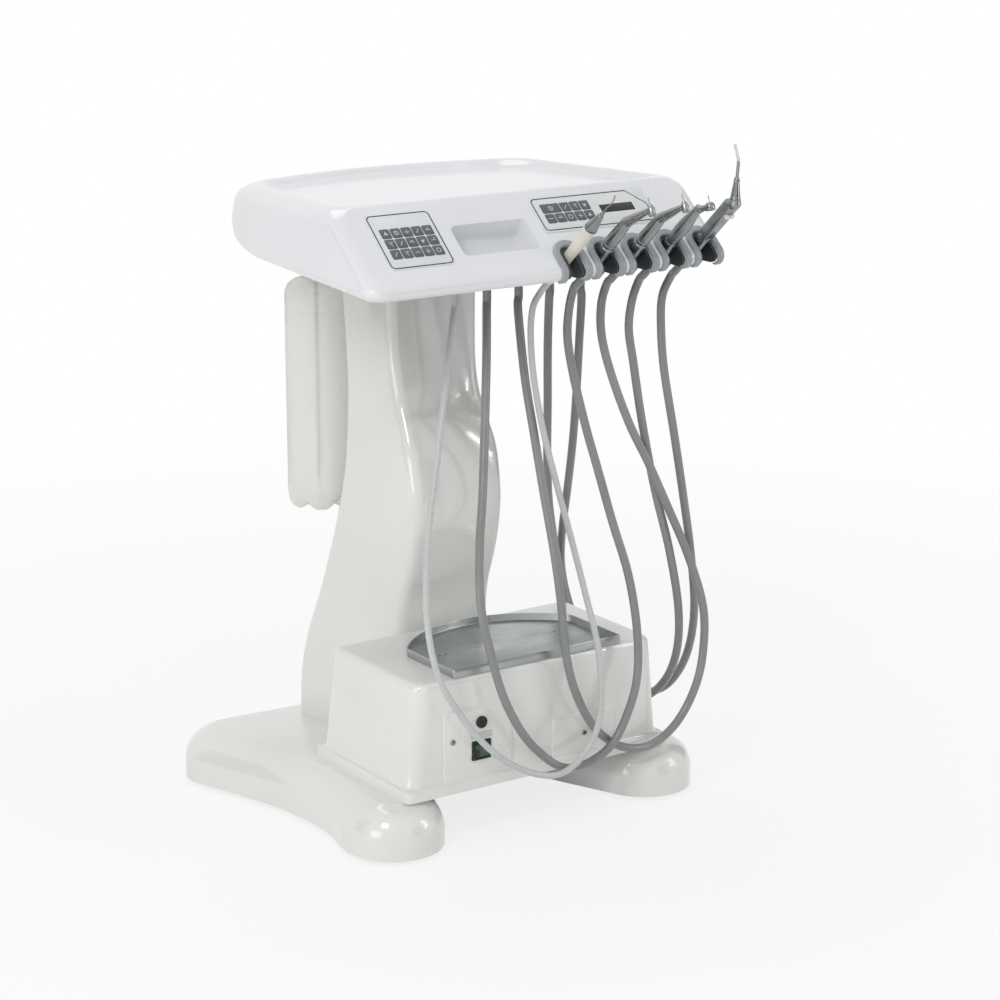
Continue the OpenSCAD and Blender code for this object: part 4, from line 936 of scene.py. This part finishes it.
def holder_slot(k):
    """Round at the back and open to the front, as the source's slot."""
    outline = arc_points(Vector((0, 0)), SLOT_R, 0, 180, 24) + [Vector((-SLOT_R, -60)), Vector((SLOT_R, -60))]
    return loft([[HOLDERS[k] @ (Vector((p.x, p.y, z)) * MM) for p in outline] for z in (-90, 50)])


def console_moulding():
    """The housing with its recessed top, hand pocket and holder slots."""
    rings = [console_ring(p.x, p.y) for p in console_section()]
    rings += [console_ring(BROW.x + far, CONSOLE_TOP, far, drop) for far, drop in RECESS]
    console = loose("console_moulding", loft(rings))
    mouth = moved(ON_PANEL, POCKET_X, POCKET_UP, -POCKET_D)
    carve(console, [plate(POCKET_W, POCKET_H, POCKET_D + 30, 10, mouth, 0.1, steps=10)])
    pocket_rim(console, 0, 5)
    pocket_rim(console, POCKET_D, 6)
    carve(console, [holder_slot(k) for k in range(5)])
    completed(console, CONSOLE_ABS, "unit", ["console_shell"], 42)


console_moulding()

# ---------------- keypads
LEFT_ICONS = [
    ["slant", "hook", "bar", "plus", "ring"], ["hook", "slant", "two", "down", "dots"],
    ["up", "drop", "plus", "slant", "two"],
]
KEY_PITCH_X, KEY_PITCH_UP, KEY_W = 16.2, 17.2, 15.0
RIGHT_PITCH, RIGHT_LOW, RIGHT_HIGH, RIGHT_KEY_H = 16.1, 74.0, 91.3, 16.0
LINE_W, CORNER_R, KEY_HIGH = 1.7, 7.0, 1.42


def overlay(name, x, up, width, height, cad_node, window=None):
    """A keypad's printed sheet on the panel, with a hole for a window."""
    sheet = loose(name, plate(width, height, 1.0, CORNER_R, moved(ON_PANEL, x, up, 0), 0.35, steps=8))
    if window:
        left, low, across, high = window
        carve(sheet, [plate(across, high, 3, 0.4, moved(ON_PANEL, left, low, -1), 0.05)])
    completed(sheet, OVERLAY, "unit", [cad_node], 30)


def outline_strip(name, points):
    """A thin printed line round a closed outline on the overlay."""
    inner = drawn_in(points, LINE_W)
    levels = ((points, 0.9), (points, 1.08), (inner, 1.08), (inner, 0.9))
    rings = [[ON_PANEL @ (Vector((p.x, p.y, z)) * MM) for p in line] for line, z in levels]
    bm = loft(rings, capped=False)
    bmesh.ops.bridge_loops(bm, edges=[edge for edge in bm.edges if edge.is_boundary])
    finish_piece(name, joined(None, bm), OVERLAY_LINE, "unit", sharp=30)


def turn(x, up, start):
    """A quarter turn of a printed line about a point of the panel."""
    return arc_points(Vector((x, up)), CORNER_R, start, start + 90, 6)


def icon(kind, x, up, size, signs):
    """A plain sign on a key, made of bars, rings, a triangle or a dot."""
    at, thick = moved(ON_PANEL, x, up, KEY_HIGH), 0.12

    def bar(matrix, width, height, left, low):
        """A round-ended bar, in shares of the sign's size."""
        corner = moved(matrix, left * size, low * size, 0)
        plate(width * size, height * size, thick, 0.06 * size, corner, 0.03, signs, 2)

    if kind in ("bar", "plus", "dots", "two"):
        bar(at, 1, 0.15, -0.5, -0.075)
    if kind in ("plus", "drop"):
        bar(at, 0.15, 1, -0.075, -0.5)
    if kind == "two":
        bar(at, 0.6, 0.15, -0.3, 0.25)
    if kind in ("ring", "drop"):
        outer, inner = size * 0.5, size * 0.36
        spun([(outer, 0), (outer, thick), (inner, thick), (inner, 0)], at, 20, signs)
    if kind in ("up", "down"):
        upright = Matrix.Rotation(QUARTER if kind == "up" else -QUARTER, 4, "Z")
        spun(solid_turn([(size * 0.5, 0), (size * 0.5, thick)]), at @ upright, 3, signs)
    if kind in ("slant", "hook"):
        tilt = at @ Matrix.Rotation(math.radians(52 if kind == "slant" else 118), 4, "Z")
        bar(tilt, 1.1, 0.15, -0.55, -0.075)
    if kind in ("hook", "dots"):
        dot = solid_turn([(size * 0.17, 0), (size * 0.17, thick)])
        spun(dot, moved(at, size * 0.3, size * 0.34, 0), 14, signs)


def keys(name, rows, signs):
    """Embossed keys in rows of (x, up, width, height, icon)."""
    bm = bmesh.new()
    for x, up, width, height, kind in rows:
        plate(width, height, 0.5, 2.2, moved(ON_PANEL, x, up, 0.95), 0.3, bm, 4)
        icon(kind, x + width / 2, up + height / 2, min(width, height) * 0.5, signs)
    finish_piece(name, bm, KEY_FACE, "unit", sharp=30)


def keypads():
    """Both keypads and the display. The right one's line is cut off at its
    upper right corner."""
    overlay("keypad_left_overlay", -242, 26.5, 99, 92, "keypad_left")
    overlay("keypad_right_overlay", 15, 58.5, 191, 63, "keypad_right", (123, 83, 56, 14))
    left, right, low, high = -233.5, -151.5, 35, 110
    line = turn(right, low, -90) + turn(right, high, 0) + turn(left, high, 90) + turn(left, low, 180)
    outline_strip("keypad_left_line", line)
    cut_off = [Vector((202.5, 92)), Vector((178, 118))]
    line = turn(195.5, 69, -90) + cut_off + turn(25.5, 111, 90) + turn(25.5, 69, 180)
    outline_strip("keypad_right_line", line)

    signs = bmesh.new()
    keys("keypad_left_keys", [
        (-231 + KEY_PITCH_X * column, 43 + KEY_PITCH_UP * row, KEY_W, 15.9, kind)
        for row, kinds in enumerate(LEFT_ICONS) for column, kind in enumerate(kinds)
    ], signs)
    low_row = [
        (29 + RIGHT_PITCH * i, RIGHT_LOW, KEY_W, RIGHT_KEY_H, kind)
        for i, kind in enumerate(("bar", "two", "ring", "plus", "up"))
    ]
    high_row = [
        (61.2 + RIGHT_PITCH * i, RIGHT_HIGH, KEY_W, RIGHT_KEY_H, kind)
        for i, kind in enumerate(("slant", "hook", "down"))
    ]
    wide_key = (29, RIGHT_HIGH, 31.1, RIGHT_KEY_H, "drop")
    keys("keypad_right_keys", [*low_row, wide_key, *high_row], signs)
    finish_piece("key_signs", signs, KEY_ICON, "unit", sharp=30)
    pane = plate(55.8, 13.8, 0.85, 0.6, moved(ON_PANEL, 123.1, 83.1, 0), 0.15)
    finish_piece("display_pane", pane, DISPLAY, "unit", ["display_window"])


keypads()


# ---------------- holders
def proud_of_console(point):
    """How far a point stands out of the lip and the panel, in mm."""
    at = Vector((point.y / MM - SHIFT_Y, point.z / MM))
    out = at - LIP
    if out.x > 0 and out.y < 0:
        return CONSOLE_Z - at.y
    if out.dot(UP_PANEL) > 0:
        return OFF_PANEL.dot(at - PANEL_START)
    return out.length - LIP_R


def holder_ring(number):
    """The trim as a soft crowned collar: only its outer edges are rounded."""
    bm = merged_copy("holder_trim_%d" % number)
    round_where(bm, lambda point: proud_of_console(point) > 2.8, 3.0, 6)
    finish_piece(
        "holder_ring_%d" % number, bm, TRIM_SILICONE, "unit", ["holder_trim_%d" % number], 45,
    )


for k in range(5):
    holder_ring(k + 1)
dress(LINER_RUBBER, "holder_liners")

# ---------------- instruments
# The hose end that the motors, the turbine and the syringe share.
TAIL_END = [(0, -TAIL), (6.8, -TAIL), (8, -60), (8.4, -46), (10, -42)]
SYRINGE_HALF, BUTTON_R, BUTTON_UP = 9.0, 3.6, 70.0


def scaler(at):
    """Ivory grip, a dark ring, and a polished cone with a bent tip."""
    grip = [
        (0, -TAIL), (5.6, -TAIL), (6.6, -59), (6.8, -45), (7.6, -40), (7.6, 0), (8.8, 46), (9.2, 59),
        (9.2, 62), (8.9, 62.4), (8.9, 64), (0, 64),
    ]
    turned_piece("scaler_grip", grip, at, IVORY, "scaler", ["scaler_handle"])
    ring = [(8.0, 62.3), (9.25, 62.3), (9.25, 63.8), (8.0, 63.8)]
    turned_piece("scaler_ring", ring, at, BLACK_PLASTIC, "scaler")
    cone = [
        (0, 63.9), (8.7, 63.9), (8.7, 67), (8, 70), (5.4, 84), (4.2, 92), (3.0, 93.2), (3.0, 98),
        (1.6, 99), (0, 99),
    ]
    metal = spun(softened(cone, 0.4), at, 56)
    tip = [Vector(p) * MM for p in ((0, 0, 97), (0, 0, 108), (0, -1.5, 118), (0, -1, 128), (0, 2, 134))]
    tube([at @ p for p in spline(tip, 6)], 0.9 * MM, 14, metal)
    finish_piece("scaler_cone_and_tip", metal, POLISHED, "scaler", ["scaler_tip"], 30)


def micromotor(k, letter):
    """A satin motor that carries a contra-angle of nickel-plated brass."""
    at, body = HOLDERS[k], "micromotor_" + letter
    groove = [(10, -12), (9.7, -11.6), (9.7, -10.4), (10, -10)]
    sleeve = [*TAIL_END, *groove, (10, 12), (9, 14), (9, 15), (0, 15)]
    turned_piece("motor_%s_sleeve" % letter, sleeve, at, MOTOR_SATIN, body, ["motor_" + letter])
    shank = [
        (0, 15), (9.2, 15), (9.7, 17), (9.7, 20), (9.3, 20.4), (9.3, 21.2), (9.7, 21.6), (9.7, 23),
        (8.8, 39), (8.1, 58), (7.5, 68.5), (7.0, 69.5), (0, 69.5),
    ]
    metal = spun(softened(shank, 0.4), at, 56)
    knee = [(0, 61.4), (2.6, 61.8), (5.4, 63.6), (7.2, 66.4), (7.8, 69), (7.2, 71.9), (0, 71.9)]
    spun(softened(knee, 1.5), at, 56, metal)
    neck_at = turned_to(HOLDER_X[k], *(HOLDER + 69 * UP_LEAN), LEAN + math.radians(18))
    neck = [
        (0, 0.5), (7.55, 0.5), (7.4, 2), (6.6, 14), (6.6, 15), (6.3, 15.3), (6.3, 16), (6.45, 16.3),
        (5, 36), (4.2, 46), (4, 56), (0, 56),
    ]
    spun(softened(neck, 0.5), neck_at, 56, metal)
    head = [
        (1.25, 0), (3, 0), (3.6, 1), (3.6, 2.2), (5.2, 4.5), (5.2, 12.2), (4.9, 12.6), (4.9, 13.2),
        (5.2, 13.5), (4.2, 15), (1.5, 15), (1.5, 14.6), (0, 14.6),
    ]
    spun(softened(head, 0.4), moved(neck_at, 0, 6, 56) @ FACING, 48, metal)
    name = "contra_angle_" + letter
    finish_piece(name + "_metal", metal, ANGLE_NICKEL, body, [name], 30)


def turbine(k):
    """A satin handpiece with a bent neck and a polished ball head."""
    sleeve = [
        *TAIL_END, (10, -10), (8.8, 0), (8.8, 6), (8.4, 6.4), (8.4, 8), (8.9, 8.4), (9.4, 40), (9.1, 48),
        (7.4, 66), (6, 80), (5.3, 85.6), (0, 85.6),
    ]
    metal = spun(softened(sleeve, 0.4), HOLDERS[k], 56)
    bend_at = HOLDER - 3 * OFF_LEAN + 86 * UP_LEAN
    neck_at = turned_to(HOLDER_X[k], *bend_at, LEAN + math.radians(26))
    neck = [(0, -5.5), (2.5, -5), (4.7, -3), (5.6, 0), (4.9, 2.8), (4.25, 4), (4.1, 19), (0, 19)]
    spun(softened(neck, 0.8), neck_at, 48, metal)
    finish_piece("turbine_sleeve", metal, MOTOR_SATIN, "turbine", ["turbine_handpiece"], 30)
    ball = [
        (0.95, 0), (3.8, 0), (5.8, 2), (6.8, 5), (6.8, 8.6), (6.6, 8.9), (6.6, 9.3), (6.8, 9.6),
        (5.8, 11.5), (0, 11.5),
    ]
    at = moved(neck_at, 0, 6, 21) @ FACING
    turned_piece("turbine_head_shell", ball, at, POLISHED, "turbine", rounding=0.9)


def syringe_handle(at, nozzle_at, buttons):
    """The square handle with its knuckle and a stepped well per button."""
    side = 2 * SYRINGE_HALF
    bar = plate(side, side, 76, 4, moved(at, -SYRINGE_HALF, -SYRINGE_HALF, 10), 0.1, steps=8)
    handle = loose("syringe_handle", bar)
    knuckle = [(0, -9), (3.4, -8.4), (6.4, -6.4), (8.4, -3.2), (9, 0), (8.2, 2), (8.2, 4), (7.6, 5), (0, 5)]
    carve(handle, [spun(softened(knuckle, 0.9), nozzle_at, 56)], "UNION")
    well = solid_turn([(1.7, -7.4), (1.7, -4.6), (BUTTON_R + 0.05, -4.6), (BUTTON_R + 0.05, 12)])
    carve(handle, [spun(well, button, 40) for button in buttons])
    chamfered(handle, 0.5, 2, 40)
    completed(handle, MOTOR_SATIN, "syringe", ["syringe_body"])


def syringe(at):
    """Ribbed tail, square handle, chrome elbow, a tube in a clear sleeve,
    and two buttons."""
    nozzle_at = moved(at, 0, -3, 91) @ Matrix.Rotation(math.radians(6) - LEAN, 4, "X")
    buttons = [moved(at, side * 4.14, -SYRINGE_HALF, BUTTON_UP) @ FACING for side in (-1, 1)]
    tail = [*TAIL_END, (10, 12), (9, 16), (0, 16)]
    turned_piece("syringe_tail", tail, at, MOTOR_SATIN, "syringe")
    ribs = bmesh.new()
    for spoke in spokes(at, 36):
        plate(0.9, 14, 0.45, 0.35, moved(spoke, -0.45, -9.75, -36) @ FACING, 0.3, ribs, 2)
    finish_piece("syringe_grip_ribs", ribs, MOTOR_SATIN, "syringe", sharp=40)
    syringe_handle(at, nozzle_at, buttons)
    elbow = [
        (0, 4.5), (7.4, 5), (7.6, 6), (7.4, 8), (6.9, 8.5), (6.9, 9.5), (6.6, 10), (4.4, 28), (4.0, 29),
        (4.4, 30), (4.2, 32), (3.6, 35), (3, 36), (0, 36),
    ]
    turned_piece("syringe_elbow", elbow, nozzle_at, POLISHED, "syringe", ["syringe_nozzle"])
    bend = spline([Vector(p) for p in ((0, 0, 35), (0, 0, 48), (0, 0, 57), (0, 2, 63), (0, 10.5, 78.5))], 8)
    path, split = [nozzle_at @ (p * MM) for p in bend], 17
    steel, sleeve = tube(path[: split + 1], 2.2 * MM), tube(path[split:], 2.0 * MM)
    finish_piece("syringe_tube", steel, MOTOR_SATIN, "syringe", sharp=30)
    finish_piece("syringe_tip_sleeve", sleeve, TIP_CLEAR, "syringe", sharp=30)
    cap = [
        (0, -3.3), (1.4, -3.3), (1.4, -2), (BUTTON_R, -1.8), (BUTTON_R, 3), (3.2, 3.7), (1.6, 4.0),
        (0, 4.0),
    ]
    for number, (button, body) in enumerate(zip(buttons, ("air_button", "water_button")), 1):
        name = "button_cap_%d" % number
        turned_piece(name, cap, button, BUTTON_WHITE, body, [body], 40, 0.5)


scaler(HOLDERS[0])
micromotor(1, "a")
micromotor(2, "b")
turbine(3)
syringe(HOLDERS[4])
dress(BUR_STEEL, "bur_a", "bur_b", "bur_c")

# ---------------- glands
GLAND = [
    (6.1, 0), (7, 0), (7.6, 4), (7.6, 5), (7.0, 5.4), (7.2, 7), (8.2, 9), (8.2, 10), (7.6, 10.4), (8, 12),
    (10, 14), (10, 19.8), (7, 19.8), (7, 26), (0, 26), (0, 4), (6.1, 4),
]


def gland_sleeves():
    """Five strain-relief sleeves, screwed up into the pan."""
    glands = bmesh.new()
    for x in GLAND_X:
        spun(softened(GLAND, 0.3), turned_to(x, GLAND_Y, CONSOLE_Z - GLAND_H), 40, glands)
    finish_piece("gland_sleeves", glands, GLAND_NYLON, "unit", ["hose_glands"], 30)


gland_sleeves()

# ---------------- bottle
BOTTLE_X, BOTTLE_Y, BOTTLE_Z, BOTTLE_SHOULDER = -97.0, 248.0, 385.0, 697.0
BOTTLE_R, WALL, NECK_R, NECK_TOP, DIP_R = 46.0, 1.5, 15.0, 742.0, 3.0
CAP_R, CAP_LOW, CAP_GAP = 20.2, BOTTLE_SHOULDER + 31.3, 0.3
# Profiles of the blown wall: the foot's heights count from the bottle's
# bottom, and the shoulder's from where the straight wall ends.
FOOT_OUT = [
    (0, 8), (10, 7), (18, 5.5), (26, 2.4), (33, 0.3), (37, 1), (41, 4.6), (44, 10), (45.4, 18), (BOTTLE_R, 27),
]
SHOULDER_OUT = [
    (BOTTLE_R, -22), (45.4, -20), (45.4, -16), (BOTTLE_R, -14), (BOTTLE_R, 0), (45, 8), (41, 17), (34, 23),
    (24, 26.5), (17, 28.6), (NECK_R, 30.8),
]
SHOULDER_IN = [(NECK_R - WALL, 31.6), (22, 25.8), (33, 21.4), (39.6, 15.8), (43.5, 7), (BOTTLE_R - WALL, -2)]
FOOT_IN = [(BOTTLE_R - WALL, 27), (42.4, 11), (39, 6), (33, 2.4), (18, 7.2), (0, 9.6)]
# Five feet up to this height, and between them valleys that are deepest
# from this radius outwards: how far they go up, and the share they go in.
FEET, FEET_TOP, VALLEY_R, VALLEY_UP, VALLEY_IN = 5, 30.0, 30.0, 8.0, 0.06


def raised(profile, height):
    """The profile with its heights counted from the floor."""
    return [(radius, height + z) for radius, z in profile]


def press_feet(bottle):
    """The foot's wall is pushed up and in between five feet, as blown."""
    centre = place(BOTTLE_X, BOTTLE_Y, 0)
    for vert in bottle.verts:
        below = BOTTLE_Z + FEET_TOP - vert.co.z / MM
        x, y = vert.co.x - centre.x, vert.co.y - centre.y
        radius = math.hypot(x, y) / MM
        if below > 0 and radius > 4:
            valley = (0.5 + 0.5 * math.cos(FEET * math.atan2(y, x) + 0.6)) ** 2
            share = min(below / FEET_TOP, 1) * valley * min(radius / VALLEY_R, 1)
            vert.co.z += VALLEY_UP * MM * share
            vert.co.x -= x * VALLEY_IN * share
            vert.co.y -= y * VALLEY_IN * share


def water_bottle(at):
    """A thin-walled blown bottle with a grip groove and a petal foot."""
    wall = raised(FOOT_OUT, BOTTLE_Z) + raised(SHOULDER_OUT, BOTTLE_SHOULDER) + [(NECK_R, NECK_TOP)]
    wall += [(NECK_R - WALL, NECK_TOP)] + raised(SHOULDER_IN, BOTTLE_SHOULDER) + raised(FOOT_IN, BOTTLE_Z)
    bottle = spun(softened(wall, 1.2), at, 100)
    press_feet(bottle)
    finish_piece(
        "bottle_blown", joined(None, bottle), BOTTLE_MILKY, "bottle", ["water_bottle"], 40
    )


def cap_and_dip_tube(at):
    """A ribbed cap below the console, and the tube that hangs from it."""
    bore, top, seat = NECK_R + CAP_GAP, CONSOLE_Z + 6, NECK_TOP + 0.6
    profile = [
        (bore, CAP_LOW), (CAP_R, CAP_LOW), (CAP_R + 0.8, CAP_LOW + 1), (CAP_R + 0.8, top), (0, top),
        (0, seat), (bore, seat), (bore, CAP_LOW),
    ]
    cap = spun(softened(profile, 0.4), at, 80)
    for spoke in spokes(at, 40):
        plate(1.6, 30, 0.7, 0.5, moved(spoke, -0.8, -20.75, CAP_LOW + 3) @ FACING, 0.4, cap, 2)
    spun(solid_turn([(DIP_R, BOTTLE_Z + 40), (DIP_R, NECK_TOP + 1)]), at, 24, cap)
    finish_piece("cap_and_dip_tube", cap, CAP_PLASTIC, "unit", ["bottle_cap"], 30)


water_bottle(turned_to(BOTTLE_X, BOTTLE_Y, 0))
cap_and_dip_tube(turned_to(BOTTLE_X, BOTTLE_Y, 0))

# ---------------- CAD shapes
CORNERS = ("fl", "fr", "rl", "rr")
dress(FRAME_COAT, "base_frame", "column_post")
dress(ZINC, "box_floor", *["castor_fork_" + place_name for place_name in CORNERS])
dress(WHEEL_RUBBER, *["castor_wheel_" + place_name for place_name in CORNERS])
dress(CASE_COAT, "power_supply")
dress(BRASS_NICKEL, "pressure_regulator", "valve_block")
dress(BOARD, "control_board")
dress(PAN_SHEET, "console_pan")

# ---------------- stage
WHITE = (1, 1, 1, 1)
# The floor's own shade shows near the unit and fades to white further off.
FADE = {"From Min": 0.6, "From Max": 2.4, "To Min": 0.8, "To Max": 1.0}
SKY_STRENGTH, AIM_HEIGHT = 0.5, 0.5


def backdrop_rays(tree):
    """1 for the rays that should meet a white background."""
    seen = node(tree, "LightPath").outputs
    rays = seen["Is Camera Ray"]
    for other in ("Is Glossy Ray", "Is Transmission Ray"):
        rays = node(tree, "Math", {0: seen[other], 1: rays}, operation="MAXIMUM").outputs[0]
    return rays


def backdrop_paper():
    """Pale seamless paper, shown white to the camera, with a soft shadow."""
    made, tree, surface = material("backdrop_paper", {})
    cloud = pattern(tree, 900, 2)
    laid(tree, surface, ("#f7f7f7", "#f4f4f4"), cloud, cloud, 0.9, 0.9)
    glow = node(tree, "Emission", {"Color": WHITE, "Strength": 1.0})
    far = node(tree, "VectorMath", {0: node(tree, "TexCoord").outputs["Object"]}, operation="LENGTH")
    fade = node(tree, "MapRange", {"Value": far.outputs["Value"], **FADE})
    share = node(tree, "Math", {0: backdrop_rays(tree), 1: fade.outputs[0]}, operation="MULTIPLY")
    mixed = node(tree, "MixShader", {0: share.outputs[0], 1: surface.outputs[0], 2: glow.outputs[0]})
    output = next(n for n in tree.nodes if n.type == "OUTPUT_MATERIAL")
    tree.links.new(mixed.outputs[0], output.inputs["Surface"])
    return made


def studio():
    """A wide floor, and an even sky that the camera sees as white."""
    bm = bmesh.new()
    bmesh.ops.create_grid(bm, x_segments=8, y_segments=8, size=14)
    finish_piece("floor", bm, backdrop_paper())
    world = bpy.data.worlds.new("studio")
    scene.world = world
    world.use_nodes = True
    tree = world.node_tree
    tree.nodes.clear()
    sky = node(tree, "Background", {"Color": WHITE, "Strength": SKY_STRENGTH})
    white = node(tree, "Background", {"Color": WHITE, "Strength": 1.0})
    mixed = node(tree, "MixShader", {0: backdrop_rays(tree), 1: sky.outputs[0], 2: white.outputs[0]})
    node(tree, "OutputWorld", {"Surface": mixed.outputs[0]})


def softbox(name, where, width, height, power, aim_height=AIM_HEIGHT):
    """A soft lamp that looks at the middle of the unit."""
    lamp = bpy.data.lights.new(name, "AREA")
    lamp.shape = "RECTANGLE"
    lamp.size = width
    lamp.size_y = height
    lamp.energy = power
    made = bpy.data.objects.new(name, lamp)
    scene.collection.objects.link(made)
    made.location = where
    made.rotation_mode = "QUATERNION"
    made.rotation_quaternion = (Vector((0, 0, aim_height)) - Vector(where)).to_track_quat("-Z", "Y")


def flag(name, where, width, height):
    """A dark card beside the unit: it only shows as a dark streak in gloss."""
    bm = bmesh.new()
    bmesh.ops.create_grid(bm, x_segments=1, y_segments=1, size=0.5)
    aim = (Vector((0, 0, where[2])) - Vector(where)).to_track_quat("Z", "Y").to_matrix().to_4x4()
    upright = Matrix.Translation(where) @ aim @ Matrix.Diagonal((width, height, 1, 1))
    bmesh.ops.transform(bm, matrix=upright, verts=bm.verts)
    card = finish_piece(name, bm, FLAG_CLOTH)
    card.visible_camera = False
    card.visible_diffuse = False
    card.visible_shadow = False
    card.visible_transmission = False


photo_camera()
studio()
flag("flag_left", (-2.4, 1.0, 1.2), 1.0, 2.2)
flag("flag_front", (0.7, -2.2, 0.5), 0.9, 1.6)
flag("flag_right", (2.4, 0.2, 1.2), 1.0, 2.2)
softbox("key", (-2.4, -1.6, 2.6), 0.8, 1.1, 27)
softbox("low", (-2.6, -0.9, 0.6), 1.0, 0.9, 8, aim_height=0.35)
softbox("fill", (2.6, -2.2, 1.6), 0.5, 1.6, 9)
softbox("top", (0.2, 0.9, 3.0), 1.4, 1.4, 13)
softbox("strip", (1.5, -1.7, 1.0), 0.05, 1.2, 2.5)
